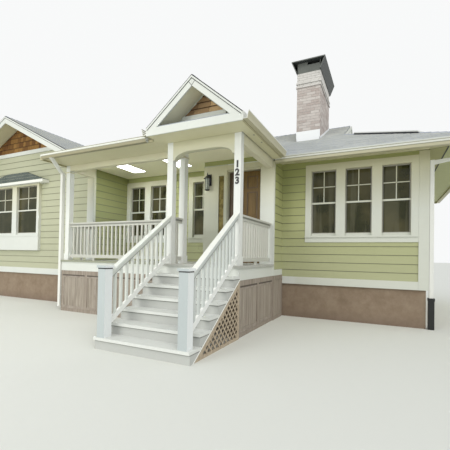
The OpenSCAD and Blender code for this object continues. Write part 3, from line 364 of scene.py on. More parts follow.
# painted reflections: lighter waves, and lighter upright streaks that are weaker in the left wing
pane.paint(pane.mix(pane.ramp(wave, 0.4, 0.62), (0.032, 0.034, 0.012), (0.08, 0.072, 0.032)))
reflected_streaks = pane.ramp(pane.noise(7, 3, 0.5, (1, 1, 0.08)), 0.5, 0.62, 0, 0.55)  # weaker in the left wing
pane.coat(pane.times(reflected_streaks, pane.ramp(pane.at(0), -3.0, -2.9, 0.2, 1)), (0.12, 0.115, 0.07))
pane.set("Alpha", 0.92)
pane.set("Coat Weight", 0.05)
pane.set("Coat Roughness", 0.03)
pane.rough(pane.ramp(pane.noise(9), 0.3, 0.7, 0.02, 0.06))
pane.m.surface_render_method = "DITHERED"
lamp_glass = Mat("lamp_glass", (0.16, 0.18, 0.17), 0.12, 0, 0.6)
stain = lamp_glass.ramp(lamp_glass.noise(25), 0.3, 0.7)
lamp_glass.paint(lamp_glass.mix(stain, (0.30, 0.34, 0.29), (0.55, 0.58, 0.52)))
amber = Mat("sidelight_glass", (0.34, 0.27, 0.10), 0.4, 0, 0.15)
wave = amber.ramp(amber.noise(14, 4, 0.6), 0.3, 0.7)
amber.paint(amber.mix(wave, (0.085, 0.064, 0.010), (0.30, 0.235, 0.070)))
amber.bump(wave, 0.3, 0.003)
# the skylight panels glow, painted daylight
sky = Mat("skylight_glow_panel", (0.95, 0.96, 1.0), 0.4)
sky.set("Emission Color", (0.95, 0.98, 1.0, 1))
sky.set("Emission Strength", 5.0)
sky.paint(sky.mix(sky.ramp(sky.noise(2), 0.3, 0.7), (0.95, 0.96, 1.0), (0.90, 0.92, 0.96)))

siding.use("left_front_wall", "left_outer_wall", "left_porch_wall", "back_wall", "right_side_wall",
           "right_front_wall", "porch_back_wall", "entry_wall_left", "entry_wall_right", "entry_wall_over")
parging.use("foundation")
inner.use("house_floor")
cedar.use("gable_shingles")
sash.use("window_sashes")
white.use("window_trim", "left_window_box", "door_frame", "porch_rim", "portico_gable")
rail.use("stair_railings")
porch_rail.use("porch_railings")
white_long.use("trim_boards", "arch_beam")
cream.use("porch_beams")
fascia.use("fascias")
white_post.use("porch_posts")
metal_white.use("downspouts")
gutter.use("gutters")
roofing.use("left_wing_roof", "main_roof", "porch_roof", "portico_roof")
hooding.use("left_window_hood")
ceiling.use("porch_ceiling")
soffit.use("soffits")
mortar.use("chimney_stack")
sheet.use("chimney_cap")
deck.use("porch_floor")
tread.use("stair_treads")
riser.use("stair_risers")
slats.use("lattice")
skirt.use("skirting")
black.use("lantern")
brass.use("door_knob")
door_wood.use("front_door")
pane.use("window_glass")


# tools for the pieces
def put(name, data):
    o = bpy.data.objects.new(name, data)
    bpy.context.scene.collection.objects.link(o)
    return o


def mesh(name, verts, faces, m, tints=None, body="house"):
    d = bpy.data.meshes.new(name)
    d.from_pydata([tuple(v) for v in verts], [], faces)
    if tints:
        a = d.color_attributes.new("tint", "FLOAT_COLOR", "POINT")
        a.data.foreach_set("color", [x for t in tints for x in (t, t, t, 1.0)])
    d.materials.append(m.m)
    d.update()
    o = put(name, d)
    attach(o, body)
    return o


class Pile:
    """Many small solids gathered into one object."""
    def __init__(self):
        self.v, self.f, self.t = [], [], []

    def solid(self, lo, hi, tint=0.5):
        """A solid between two loops of points of equal length."""
        n, k = len(lo), len(self.v)
        self.v += list(lo) + list(hi)
        self.t += [tint] * (2 * n)
        for i in range(n):
            j = (i + 1) % n
            self.f.append((k + i, k + j, k + n + j, k + n + i))
        self.f.append(tuple(k + i for i in reversed(range(n))))
        self.f.append(tuple(k + n + i for i in range(n)))

    def push(self, loop, by):
        """A solid that a loop sweeps when it moves by a vector."""
        self.solid(loop, [p + by for p in loop])

    def box(self, a, b):
        lo = [Vector((x, y, a[2])) for x, y in ((a[0], a[1]), (b[0], a[1]), (b[0], b[1]), (a[0], b[1]))]
        self.push(lo, Z * (b[2] - a[2]))

    def make(self, name, m, slot, body="house"):
        return mesh(name, self.v, self.f, m, self.t, body)


def spans(poly, v):
    """Where a level line crosses an outline."""
    xs = []
    for (u0, v0), (u1, v1) in zip(poly, poly[1:] + poly[:1]):
        if (v0 > v) != (v1 > v):
            xs.append(u0 + (u1 - u0) * (v - v0) / (v1 - v0))
    xs.sort()
    return list(zip(xs[::2], xs[1::2]))


def pinch(a, b, lo, hi):
    """Two ends that have crossed meet half way, within two bounds in any order."""
    if b >= a:
        return a, b
    return (min(max((a + b) / 2, min(lo, hi)), max(lo, hi)),) * 2


def lay(pile, o, U, V, poly, expo, tab=None, t0=0.012, t1=0.003, holes=(), side=0.002, top=0.0, wild=0.0,
        start=None, seed=1, slip=0.0):
    """Courses of boards, shingles or bricks on a flat face.

    The face starts at o and runs along U and V, and poly and holes (u0, u1, v0, v1) are measured along them. A
    course is expo high, less a joint of top. It is cut into pieces tab long, give or take the share wild, with
    joints of side, and is t0 thick below and t1 above. slip is how far a piece may hang low.
    """
    R = random.Random(seed)
    N = U.cross(V)
    near = 1e-5
    umin, umax = min(p[0] for p in poly), max(p[0] for p in poly)
    vmin, vmax = min(p[1] for p in poly), max(p[1] for p in poly)
    heights = [p[1] for p in poly] + [v for h in holes for v in h[2:]]
    width = tab or 99.0
    gap = side / 2 if tab else 0
    v0 = vmin if start is None else start
    row = 0
    while v0 < vmax - 1e-4:
        v1 = v0 + expo
        cuts = {max(v0, vmin), min(v1 - top, vmax)} | {v for v in heights if v0 + 1e-4 < v < v1 - top - 1e-4}
        cuts = sorted(cuts)
        edges = [umin - width * (0.25 + 0.5 * (row % 2)) - (R.random() * width if width > 1 and tab else 0)]
        while edges[-1] < umax:
            edges.append(edges[-1] + width * (1 + wild * (R.random() * 2 - 1)))
        marks = [(R.random(), slip * R.random()) for _ in edges]
        for a, b in zip(cuts, cuts[1:]):
            low, high = spans(poly, a + near), spans(poly, b - near)
            if b - a < 1e-4 or len(low) != len(high):
                continue
            ha, hb = t0 + (t1 - t0) * (a - v0) / expo, t0 + (t1 - t0) * (b - v0) / expo
            gaps, pos = [], -1e9
            for h in sorted(h[:2] for h in holes if h[2] < b - near and h[3] > a + near):
                gaps.append((pos, h[0]))
                pos = h[1]
            gaps.append((pos, 1e9))
            for (al, bl), (ah, bh) in zip(low, high):
                for g0, g1 in gaps:
                    for e0, e1, (tint, s) in zip(edges, edges[1:], marks):
                        x0, x1 = max(e0 + gap, g0), min(e1 - gap, g1)
                        p0, p1, q0, q1 = max(x0, al), min(x1, bl), max(x0, ah), min(x1, bh)
                        if p1 - p0 < 0.002 and q1 - q0 < 0.002:
                            continue
                        p0, p1 = pinch(p0, p1, al, bl)
                        q0, q1 = pinch(q0, q1, ah, bh)
                        aa = a - (s if a == cuts[0] and row else 0)
                        k = len(pile.v)
                        for u, v, h in ((p0, aa, 0), (p1, aa, 0), (q1, b, 0), (q0, b, 0), (p0, aa, ha + s * 0.1),
                                        (p1, aa, ha + s * 0.1), (q1, b, hb), (q0, b, hb)):
                            pile.v.append(o + U * u + V * v + N * h)
                        pile.t += [tint] * 8
                        pile.f += [tuple(k + i for i in f) for f in ((4, 5, 6, 7), (0, 1, 5, 4), (0, 4, 7, 3),
                                                                     (1, 2, 6, 5), (3, 7, 6, 2))]
        v0 = v1
        row += 1


def wall(d, at):
    """A wall face that looks to -y, +y, +x or -x, and the run along it of a house value."""
    if d == "-y":
        return Vector((0, (at - MY) / 1000, 0)), X, lambda x: (x - MX) / 1000
    if d == "+y":
        return Vector((0, (at - MY) / 1000, 0)), -X, lambda x: -(x - MX) / 1000
    if d == "+x":
        return Vector(((at - MX) / 1000, 0, 0)), Y, lambda y: (y - MY) / 1000
    return Vector(((at - MX) / 1000, 0, 0)), -Y, lambda y: -(y - MY) / 1000


def on_wall(pile, d, at, poly, expo, holes=(), **k):
    o, U, run = wall(d, at)
    pts = [(run(a), z / 1000) for a, z in poly]
    hs = [(*sorted((run(h[0]), run(h[1]))), h[2] / 1000, h[3] / 1000) for h in holes]
    lay(pile, o, U, Z, pts, expo, holes=hs, **k)


def level(a, b, z0, z1):
    """A rectangle on a wall, from a to b and z0 to z1."""
    return [(a, z0), (b, z0), (b, z1), (a, z1)]


# windows, by their centres along the wall
WINDOW = 518                                        # width of all but the left wing's front pair
HALF = WINDOW / 2 + 127                             # half a window with its boards
TRIPLE, PORCH, TALL = [915, 1617, 2319], [-4190, -3474], -2110
BACK, RIGHT, LEFT = [-9000, -6600, -4200, -1800, 900], [1500, 3900], [700, 3600]


def hole(a, b):
    """The opening in the siding for windows whose outer centres are a and b."""
    return (a - HALF, b + HALF, 1660, 3357)


# siding. Long walls have boards 3.6 m long
boards = Pile()
left_front = [(-10427, 895), (-4795, 895), (-4795, 3450), (-6040, 4168), (-9120, 4168), (-10427, 3575)]
back = [(-10427, 895), (2707, 895), (2707, 3440), (-4300, 3440), (-7580, 5055), (-10427, 3630)]
for seed, (d, at, outline, holes, tab) in enumerate((
        ("-y", 0, level(0, 2707, 895, 3440), [hole(TRIPLE[0], TRIPLE[-1])], 3.6),
        ("+x", 2860, level(153, 5447, 895, 3440), [hole(c, c) for c in RIGHT], 3.6),
        ("-y", 0, level(-4580, -1670, 1172, 3490), [hole(*PORCH), hole(TALL, TALL)], 3.6),
        ("+x", 0, level(-629, 0, 1056, 3440), [], None),
        ("-x", -1670, level(-660, 0, 1172, 3490), [], None),
        ("-y", -1220, left_front, [(-8767, -6593, 1388, 3272), (-9067, -6293, 3268, 3655)], 3.6),
        ("+x", -4580, level(-1183, 0, 1172, 3490), [], None),
        ("-x", -10580, level(-1067, 5447, 895, 3360), [hole(c, c) for c in LEFT], 3.6),
        ("+y", 5600, back, [hole(c, c) for c in BACK], 3.6),
        ("-y", -660, level(-1670, 0, 3372, 3490), [], 3.6)), 1):
    on_wall(boards, d, at, outline, SIDING_ROW, holes, start=SIDING_Z, tab=tab, seed=seed)
boards.make("siding_boards", siding, "siding")

# cedar shingles in the gables
shingles = Pile()
on_wall(shingles, "-y", -1205, [(-9170, 4280), (-5990, 4280), (-7580, 5045)], 0.15, tab=0.16, wild=0.45, t0=0.014,
        t1=0.005, side=0.005, slip=0.006, seed=11)
shingles.make("gable_cedar", cedar, "cedar")
shingles = Pile()
on_wall(shingles, "-y", -2430, [(-1100, 3778), (-340, 3778), (-720, 4090)], 0.098, tab=0.26, wild=0.5, t0=0.024,
        t1=0.004, side=0.005, slip=0.006, seed=12)
shingles.make("portico_cedar", cedar_pale, "cedar")


# roofs
def roof(pile, d, base, z0, rise, plan, holes=(), **k):
    """Shingles on a slope that climbs towards +y, -y, +x or -x from a base line."""
    c = 1 / math.sqrt(1 + rise * rise)
    s = rise * c
    sign = 1 if d[0] == "+" else -1
    if d[1] == "y":
        o, U, V = Vector((0, (base - MY) / 1000, z0 / 1000)), X * sign, Vector((0, sign * c, s))
        f = lambda x, y: (sign * (x - MX) / 1000, sign * (y - base) / 1000 / c)
    else:
        o, U, V = Vector(((base - MX) / 1000, 0, z0 / 1000)), -Y * sign, Vector((sign * c, 0, s))
        f = lambda x, y: (-sign * (y - MY) / 1000, sign * (x - base) / 1000 / c)
    hs = []
    for x0, y0, x1, y1 in holes:
        a, b = f(x0, y0), f(x1, y1)
        hs.append((min(a[0], b[0]), max(a[0], b[0]), min(a[1], b[1]), max(a[1], b[1])))
    lay(pile, o, U, V, [f(*p) for p in plan], 0.143, tab=0.305, t0=0.009, t1=0.003, holes=hs, side=0.004, **k)


EAVE, RIDGE, PEAK = 3460, 5160, 4250                # heights; the peak is the portico's
FRONT, REAR, EAST, WEST = -600, 6200, 3720, -10980  # outer roof edges
MAIN_RISE, HIP_RISE, PORCH_RISE, PORTICO_RISE = 0.5, 0.37, 0.21914, 730 / 880
WING_X, PORTICO_X, WING_EDGE = -7580, -720, -4180   # two ridge lines, and the wing's inner edge
TOP_X, RIDGE_Y = 1180, 2800                         # where the hip meets the small gable, and the main ridge
TOP_Z = EAVE + HIP_RISE * (EAST - TOP_X)
TOP_Y0, TOP_Y1 = FRONT + (TOP_Z - EAVE) * 2, REAR - (TOP_Z - EAVE) * 2
SKYLIGHTS = (-3700, -2300)

slabs = Pile()
roof(slabs, "-x", WING_EDGE, EAVE, MAIN_RISE,
     [(WING_X, -1670), (-4640, -1670), (-4640, -1574), (-5760, 980), (WING_X, RIDGE_Y)], seed=21)
roof(slabs, "+x", WEST, EAVE, MAIN_RISE, [(WEST, -1670), (WEST, 6050), (WING_X, 6050), (WING_X, -1670)], seed=22)
roof(slabs, "-x", WING_EDGE, EAVE, MAIN_RISE, [(WING_X, RIDGE_Y), (-4330, 6050), (WING_X, 6050)], seed=23)
roof(slabs, "+y", FRONT, EAVE, MAIN_RISE,
     [(162, FRONT), (EAST, FRONT), (TOP_X, TOP_Y0), (TOP_X, RIDGE_Y), (WING_X, RIDGE_Y), (-5760, 980),
      (PORTICO_X, 980), (160, -480)], [(30, 1094, 622, 2526)], seed=24)
roof(slabs, "-y", REAR, EAVE, MAIN_RISE,
     [(WING_EDGE, REAR), (EAST, REAR), (TOP_X, TOP_Y1), (TOP_X, RIDGE_Y), (WING_X, RIDGE_Y), (-4330, 6050),
      (WING_EDGE, 6055)], seed=25)
roof(slabs, "-x", EAST, EAVE, HIP_RISE, [(EAST, FRONT), (EAST, REAR), (TOP_X, TOP_Y1), (TOP_X, TOP_Y0)], seed=26)
roof(slabs, "+y", -2625, EAVE, PORCH_RISE,
     [(-4640, -2625), (-1600, -2625), (-1600, -2351), (PORTICO_X, 980), (-5760, 980), (-4640, -1574)],
     [(x - 204, -1404, x + 204, -496) for x in SKYLIGHTS], seed=27)
roof(slabs, "-x", 160, 3520, PORTICO_RISE,
     [(PORTICO_X, -2820), (160, -2820), (160, -480), (PORTICO_X, 980)], seed=28)
roof(slabs, "+x", -1600, 3520, PORTICO_RISE,
     [(PORTICO_X, -2820), (-1600, -2820), (-1600, -2351), (PORTICO_X, 980)], seed=29)


def caps(pile, a, b, d0, d1, seed=31):
    """Bent cap shingles along a ridge or hip. d0 and d1 point down the two slopes."""
    R = random.Random(seed)
    n = max(1, int((b - a).length / 0.143))
    step = (b - a) / n
    e = step.normalized()
    n0, n1 = d0.cross(e).normalized(), d1.cross(e).normalized()
    n0, n1 = n0 * (1 if n0.z > 0 else -1), n1 * (1 if n1.z > 0 else -1)
    w0, w1 = d0 * 0.14, d1 * 0.14
    for i in range(n):
        p, q = a + step * i, a + step * (i + 1.02)
        lo = [p + w0 + n0 * 0.012, p + Z * 0.019, p + w1 + n1 * 0.012, p + w1, p - Z * 0.002, p + w0]
        hi = [q + w0 + n0 * 0.006, q + Z * 0.010, q + w1 + n1 * 0.006, q + w1, q - Z * 0.004, q + w0]
        pile.solid(lo, hi, R.random())


def down(x, y, rise):
    """The way down a slope of a given rise that faces x, y."""
    c = 1 / math.sqrt(1 + rise * rise)
    return Vector((x * c, y * c, -rise * c))


to_front, to_back = down(0, -1, MAIN_RISE), down(0, 1, MAIN_RISE)
caps(slabs, P(WING_X, -1670, RIDGE), P(WING_X, 6050, RIDGE), down(-1, 0, MAIN_RISE), down(1, 0, MAIN_RISE))
caps(slabs, P(TOP_X, RIDGE_Y, RIDGE), P(-7500, RIDGE_Y, RIDGE), to_front, to_back, seed=32)
for y, top_y, way, seed in ((FRONT, TOP_Y0, to_front, 33), (REAR, TOP_Y1, to_back, 34)):
    a, b = P(EAST, y, EAVE), P(TOP_X, top_y, TOP_Z)
    caps(slabs, a + (b - a) * 0.012, b, way, down(1, 0, HIP_RISE), seed=seed)
caps(slabs, P(PORTICO_X, -2820, PEAK), P(PORTICO_X, 960, PEAK), down(-1, 0, PORTICO_RISE),
     down(1, 0, PORTICO_RISE), seed=35)
slabs.make("roof_shingles", roofing, "shingles")

# shingles on the hood over the left window
hood = Pile()
run, rise = 0.170, 0.305
slant = math.hypot(run, rise)
lay(hood, P(0, -1430, 3345), X, Vector((0, run / slant, rise / slant)),
    [(-9.065, 0), (-6.295, 0), (-7.23, slant), (-8.13, slant)], 0.115, tab=0.25, t0=0.005, t1=0.002, side=0.003,
    seed=36)
hood.make("hood_shingles", hooding, "dark_shingles")

# bricks of the chimney, with two courses that stand out near the top
bricks = Pile()
laid = dict(tab=0.205, t0=0.005, t1=0.005, side=0.009, wild=0.03)
for d, at, a, b in (("-y", 1100, 36, 616), ("+y", 2520, 36, 616), ("+x", 616, 1100, 2520), ("-x", 36, 1100, 2520)):
    o, U, run = wall(d, at)
    u0, u1 = sorted((run(a), run(b)))
    u0, u1 = u0 - 0.004, u1 + 0.004
    lay(bricks, o, U, Z, level(u0, u1, 5.0 if d == "+y" else 4.3, 5.69), 0.0695, top=0.009, seed=41, **laid)
    for z0, z1, out in ((5.69, 5.735, 0.022), (5.735, 5.79, 0), (5.79, 5.835, 0.022), (5.835, 6.07, 0)):
        row = z1 - z0 if out else (z1 - z0) / round((z1 - z0) / 0.065)
        lay(bricks, o + U.cross(Z) * out, U, Z, level(u0 - out, u1 + out, z0, z1), row, top=0.007,
            seed=int(z0 * 100), **laid)
bricks.make("chimney_bricks", brick, "brick")
steps = Pile()
steps.push([P(x, 1090, z) for x, z in level(26, 626, 4305, 4560)], Y * 0.009)
for x0, x1 in ((26, 36), (616, 626)):
    for i in range(8):
        y0, y1 = 1090 + i * 180, 1090 + (i + 1) * 180
        za, zb = (EAVE + MAIN_RISE * (y - FRONT) for y in (y0, y1))
        y1 = min(y1, 2525)
        loop = [P(x0, y0, za - 5), P(x0, y1, zb - 5), P(x0, y1, zb + 60), P(x0, y0, za + 60)]
        steps.push(loop, P(x1, 0, 0) - P(x0, 0, 0))
steps.make("chimney_flashing", flashing, "white_metal")

# window bars, and painted shadow lines round the panes
bars, pane_shadows = Pile(), Pile()


def window(d, at, cx, w, z0, z1, jamb=44):
    """Bars across the upper sash and a painted shadow line round both panes. The glass lies 16 mm inside the sash.
    """
    o, U, run = wall(d, at)
    N = U.cross(Z)
    u, w = run(cx), w / 1000
    u0, u1 = u - w / 2, u + w / 2

    def slab(pile, a, b, low, high, d0, d1):
        base = [o + U * p + Z * (z / 1000) + N * (d0 / 1000) for p, z in level(a, b, low, high)]
        pile.push(base, N * ((d1 - d0) / 1000))

    half = w / 2 - 0.024
    meet, top = (z0 + z1) / 2, z1 - 24
    mid = meet + 22
    slab(bars, u - 0.009, u + 0.009, mid, top, -15, -3)
    slab(bars, u - half, u + half, (top + mid) / 2 - 9, (top + mid) / 2 + 9, -15, -3)
    slab(bars, u0 + 0.002, u1 - 0.002, meet - 15, mid, 0.3, 4)
    slab(bars, u0 + 0.002, u1 - 0.002, z0 + 2, z0 + 56, 0.3, 4)
    for s, e in ((-1, u0), (1, u1)):
        slab(bars, min(e, e - s * 0.003), max(e, e - s * 0.003), z0, z1, -5, jamb)
        g = u + s * half - (0.010 if s > 0 else 0)
        for low, high in ((z0 + 70, meet - 15), (mid, top)):
            slab(pane_shadows, g, g + 0.010, low, high, -15.5, -9)
    slab(bars, u0, u1, z1 - 3, z1, -5, jamb)
    slab(bars, u0, u1, z0, z0 + 2, -5, jamb)


for c in TRIPLE + PORCH + [TALL]:
    window("-y", 45, c, WINDOW, 1800, 3220)
for s in (-547, 547):
    window("-y", -1250, -7680 + s, 895, 1830, 3230, 58)
for d, at, centres in (("+y", 5555, BACK), ("+x", 2815, RIGHT), ("-x", -10535, LEFT)):
    for c in centres:
        window(d, at, c, WINDOW, 1800, 3220)
bars.make("window_bars", white, "white_trim")
pane_shadows.make("pane_shadow_lines", joint_and_shadow_black, "black_metal")


# small boards, edges and fittings
def rakes(pile, wider, dy, drops, height, depth):
    """A strip along the rakes of the portico and the wing. The wing's right rake ends over the porch."""
    for s in (-1, 1):
        for cx, top, rise, half, y, drop in ((PORTICO_X, PEAK, PORTICO_RISE, 900, -2850, drops[0]),
                                             (WING_X, RIDGE, MAIN_RISE, 3420, -1700, drops[1])):
            end = -4645 if cx == WING_X and s > 0 else cx + s * (half + wider)
            a, b = P(cx, y + dy, top - drop), P(end, y + dy, top - drop - rise * abs(end - cx))
            pile.push([a, b, b + Z * height, a + Z * height], Y * depth)


trim = Pile()
for x in (-4665, -1495):                                                    # plates on two post heads
    trim.box(P(x + 1, -2014, 3200), P(x + 149, -1866, 3222))
rakes(trim, 5, -7, (46, 44), 0.034, 0.012)
for y in (TOP_Y0, TOP_Y1):                                                  # rakes of the small roof gable
    a, b = P(TOP_X + 30, y, TOP_Z + 12), P(TOP_X + 30, RIDGE_Y, 5156)
    trim.push([a, b, b - Z * 0.09, a - Z * 0.06], X * 0.02)
trim.box(P(-1150, -2452, 3690), P(-290, -2430, 3776))
trim.box(P(-8765, -1322, 1786), P(-6595, -1307, 1812))
trim.make("small_boards", white, "white_trim")
dark = Pile()
rakes(dark, 0, 0, (4, 4), 0.012, 0.04)                                      # drip edges
rakes(dark, -20, 3.5, (59, 57), 0.014, 0.0016)                              # shadow lines under the rake caps
# painted shadow lines under the portico's peak
for x in (-775, -665):
    a, b = P(PORTICO_X, -2846.5, 4070), P(x, -2846.5, 4135)
    dark.push([a, a + Z * 0.012, b + Z * 0.012, b], Y * 0.0016)
for x in (-1475, -140):                                                     # shadow lines under the newel caps
    dark.box(P(x - 1.5, -3981.5, 1114), P(x + 136.5, -3843.5, 1129))
a, b = P(EAST, FRONT, EAVE), P(TOP_X, TOP_Y0, TOP_Z)                        # raised strip along the upper hip
side = (b - a).cross(Z).normalized() * 0.09
a, b = a + (b - a) * 0.39, a + (b - a) * 0.88
loop = (a + side, b + side, b - side, a - side)
# its black lower half is painted shade on the strip's side
dark.push([v - Z * 0.012 for v in loop], Z * 0.024)
dark.make("drip_edges_and_shadow_lines", black, "black_metal")
hip_strip = Pile()
hip_strip.push([v + Z * 0.012 for v in loop], Z * 0.024)
hip_strip.make("hip_strip", metal_white, "white_metal")
joints = Pile()                                                             # of the right corner's eave boards
a, b = P(2866, -6, 3437), P(3714, -594, 3342)
q = Y * 0.008
joints.push([a - q, b - q, b + q, a + q], Z * 0.0035)
joints.push([P(3145, -190, 3405), P(3145, 5790, 3405), P(3170, 5790, 3402.5), P(3170, -190, 3402.5)], Z * 0.0045)
joints.make("soffit_joint", joint_and_shadow_black, "black_metal")

# grooved boards and frames of the skirts
grooved = Pile()
for d, at, a, b, seed in (("-y", -2042, -4630, -1540, 51), ("+x", -5, -2440, -700, 52),
                          ("+x", 12.3, -650, -67, 53)):
    on_wall(grooved, d, at, level(a, b, 72, 838), 0.77, tab=0.095, t0=0.006, t1=0.006, side=0.006, seed=seed)
grooved.make("skirt_panels", panel, "skirt_paint")
framing = Pile()
for y0, y1, z0, z1 in ((-2440, -700, 778, 838), (-2440, -700, 72, 132), (-2440, -2372, 132, 778),
                       (-1590, -1530, 132, 778), (-762, -700, 132, 778)):
    framing.box(P(0, y0, z0), P(9, y1, z1))
for x0, x1, z0, z1 in ((-4630, -1540, 778, 838), (-4630, -1540, 72, 132), (-4630, -4568, 132, 778),
                       (-3610, -3550, 132, 778), (-2590, -2530, 132, 778)):
    framing.box(P(x0, -2056, z0), P(x1, -2047, z1))
framing.make("skirt_frames", frames, "skirt_paint")


def ring(cx, cy, r, z, n=12):
    return [P(cx + r * math.cos(i * 2 * math.pi / n), cy + r * math.sin(i * 2 * math.pi / n), z) for i in range(n)]


# small round vents under the portico eave, and the light front of the cap's opening
vents = Pile()
for y in (-2190, -1800):
    vents.push(ring(118, y, 13, 3367), Z * 0.0032)
vents.make("soffit_vents", black, "black_metal")
cap_front = Pile()
cap_front.box(P(57, 1101, 6264), P(290, 1106, 6335))
cap_front.make("cap_front_panel", sheet, "cap_metal")

# number on the post
digits = bpy.data.curves.new("digits", "FONT")
digits.body = "1\n2\n3"
digits.size, digits.extrude, digits.offset = 0.155, 0.004, 0.006
digits.align_x, digits.space_line = "CENTER", 0.88
text = put("digits", digits)
bpy.context.view_layer.update()
flat = bpy.data.meshes.new_from_object(text)
bpy.data.objects.remove(text)
base = P(-80, -2405, 2795)
mesh("post_number", [base + Vector((v.co.x, -v.co.z, v.co.y)) for v in flat.vertices],
     [tuple(p.vertices) for p in flat.polygons], black)

# lantern
cage = Pile()
LX, LY = -1522, -805
cage.box(P(LX - 45, -700, 2930), P(LX + 45, -685, 3190))
cage.box(P(LX - 12, LY, 3130), P(LX + 12, -699, 3154))
for r0, z0, r1, z1 in ((36, 2800, 60, 2825), (90, 3073, 25, 3132), (14, 3132, 10, 3192)):
    cage.solid(ring(LX, LY, r0, z0), ring(LX, LY, r1, z1))
for i in range(6):
    x, y = LX + 50 * math.cos(i * math.pi / 3), LY + 50 * math.sin(i * math.pi / 3)
    cage.box(P(x - 3.5, y - 3.5, 2824), P(x + 3.5, y + 3.5, 3074))
lamp = cage.make("lantern_cage", black, "black_metal")
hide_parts("lantern")
lamp_pane = Pile()
for r0, z0, r1, z1 in ((44, 2826, 44, 3072), (12, 3190, 4, 3215)):
    lamp_pane.solid(ring(LX, LY, r0, z0), ring(LX, LY, r1, z1))
lamp_pane.make("lantern_glass", lamp_glass, "glass")


# glowing sheets of painted daylight in the two roof windows and the liners of their shafts, and the coloured
# sheet beside the door
def porch_roof_z(y, above):
    return EAVE + PORCH_RISE * (y + 2625) + above


daylight = Pile()
for x in SKYLIGHTS:
    z0, z1 = porch_roof_z(-1378, 40), porch_roof_z(-522, 40)
    loop = [P(x - 178, -1378, z0), P(x + 178, -1378, z0), P(x + 178, -522, z1), P(x - 178, -522, z1)]
    daylight.push(loop, Z * 0.005)
for x in SKYLIGHTS:
    liners = [(x0, x0 + 3, -1379, -521, (-1379, -1379, -521, -521)) for x0 in (x - 179, x + 176)]
    liners += [(x - 176, x + 176, y0, y0 + 3, (y0,) * 4) for y0 in (-1379, -524)]
    for x0, x1, y0, y1, tops in liners:
        lo = [P(x0, y0, 3491), P(x1, y0, 3491), P(x1, y1, 3491), P(x0, y1, 3491)]
        daylight.solid(lo, [Vector((p.x, p.y, porch_roof_z(y, 30) / 1000)) for p, y in zip(lo, tops)])
daylight.make("skylight_panels", sky, "glass")
sidelight = Pile()
sidelight.box(P(-1288, -655, 1452), P(-1159, -652, 3138))
sidelight.make("sidelight_sheet", amber, "glass")

# raised mouldings and fields on the door; the mouldings and a strip down the leaf's left edge are darker, painted
# shade
mouldings, fields = Pile(), Pile()
DX, DY, DZ, PANEL = -1065, -560, 1186, 215          # left edge, front face and foot of the leaf, panel width
for i in (0, 1):
    for z, h in ((200, 620), (930, 620), (1660, 240)):
        x0 = DX + 110 + i * (PANEL + 110)
        x1, z0, z1 = x0 + PANEL, DZ + z, DZ + z + h
        for a, b, c, d in ((x0 - 14, x1 + 14, z0 - 14, z0 + 2), (x0 - 14, x1 + 14, z1 - 2, z1 + 14),
                           (x0 - 14, x0 + 2, z0 + 2, z1 - 2), (x1 - 2, x1 + 14, z0 + 2, z1 - 2)):
            mouldings.box(P(a, DY - 7, c), P(b, DY + 0.5, d))
        fields.box(P(x0 + 28, DY + 2, z0 + 28), P(x1 - 28, DY + 8.5, z1 - 28))
# painted shadow down the leaf's left edge
mouldings.box(P(DX + 1, DY - 6, DZ + 2), P(DX + 80, DY + 0.5, DZ + 2020))
mouldings.make("door_mouldings", door_shade, "door_wood", "door_leaf")
fields.make("door_fields", door_wood, "door_wood", "door_leaf")

# standpipe under the right downspout
stand = Pile()
stand.box(P(2874, -36, 0), P(2976, 76, 592))
stand.box(P(2868, -42, 540), P(2982, 82, 592))
stand.make("standpipe", pipe, "black_metal")

# stage, light and camera
bpy.ops.mesh.primitive_plane_add(size=400)
floor = bpy.context.object
floor.name = "stage_floor"
floor.data.materials.append(Mat("stage_floor", (0.74, 0.75, 0.70), 0.9, 0, 0.1).m)

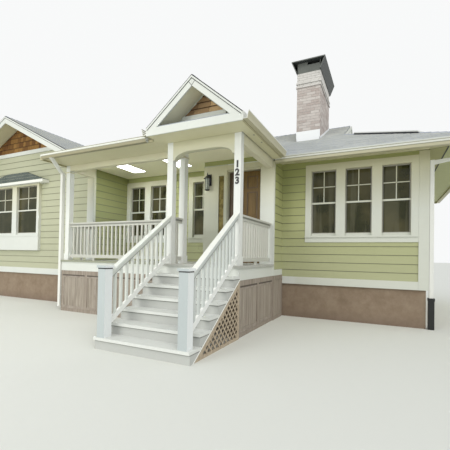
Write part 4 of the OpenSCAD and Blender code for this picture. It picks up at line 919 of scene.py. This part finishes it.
sun = bpy.data.lights.new("sun", "SUN")
sun.energy, sun.angle, sun.color = 1.15, math.radians(35), (1.0, 0.97, 0.92)
put("sun", sun).rotation_euler = (math.radians(48), math.radians(6), math.radians(38))
fill = bpy.data.lights.new("fill", "AREA")
fill.shape, fill.size, fill.size_y, fill.energy, fill.color = "RECTANGLE", 6.4, 4, 300, (1.0, 1.0, 0.93)
fill.spread = math.radians(110)
softbox = put("fill", fill)
softbox.location = P(-5600, -15500, 4600)
softbox.rotation_euler = (P(-5200, 0, 3000) - softbox.location).to_track_quat("-Z", "Y").to_euler()

# the camera, the gloss and the panes see a paler sky than the one that lights the house
world = bpy.data.worlds.new("world")
world.use_nodes = True
tree = world.node_tree
light = tree.nodes["Background"]
light.inputs["Color"].default_value = (0.93, 0.96, 1.0, 1)
light.inputs["Strength"].default_value = 0.75
seen = tree.nodes.new("ShaderNodeBackground")
seen.inputs["Color"].default_value = (0.94, 0.95, 0.95, 1)
path, either = tree.nodes.new("ShaderNodeLightPath"), tree.nodes.new("ShaderNodeMixShader")
rays = path.outputs["Is Camera Ray"]
for kind in ("Is Glossy Ray", "Is Transmission Ray"):
    more = tree.nodes.new("ShaderNodeMath")
    more.operation, more.use_clamp = "ADD", True
    tree.links.new(rays, more.inputs[0])
    tree.links.new(path.outputs[kind], more.inputs[1])
    rays = more.outputs[0]
for i, out in enumerate((rays, light.outputs[0], seen.outputs[0])):
    tree.links.new(out, either.inputs[i])
tree.links.new(either.outputs[0], tree.nodes["World Output"].inputs["Surface"])
bpy.context.scene.world = world
bpy.context.scene.view_settings.view_transform = "Standard"

# the photograph's camera, solved from its vanishing lines
PICTURE, FOCAL, SHIFT = 450, 332.65, 26.18          # pixels
yaw, pitch, roll = (math.radians(a) for a in (25.642, 0.878, 1.052))
ahead = Vector((-math.sin(yaw) * math.cos(pitch), math.cos(yaw) * math.cos(pitch), math.sin(pitch)))
right = Vector((math.cos(yaw), math.sin(yaw), 0))
up = right.cross(ahead)
cam = bpy.data.cameras.new("camera")
cam.sensor_width = 36
cam.lens = 36 * FOCAL / PICTURE
cam.shift_y = SHIFT / PICTURE
cam.clip_end = 500
camera = put("camera", cam)
m4 = camera.matrix_world.copy()
rolled_right = right * math.cos(roll) + up * math.sin(roll)
rolled_up = up * math.cos(roll) - right * math.sin(roll)
for i, way in enumerate((rolled_right, rolled_up, -ahead)):
    for j in range(3):
        m4[j][i] = way[j]
m4.translation = P(2120, -7400, 1320)
camera.matrix_world = m4
bpy.context.scene.camera = camera
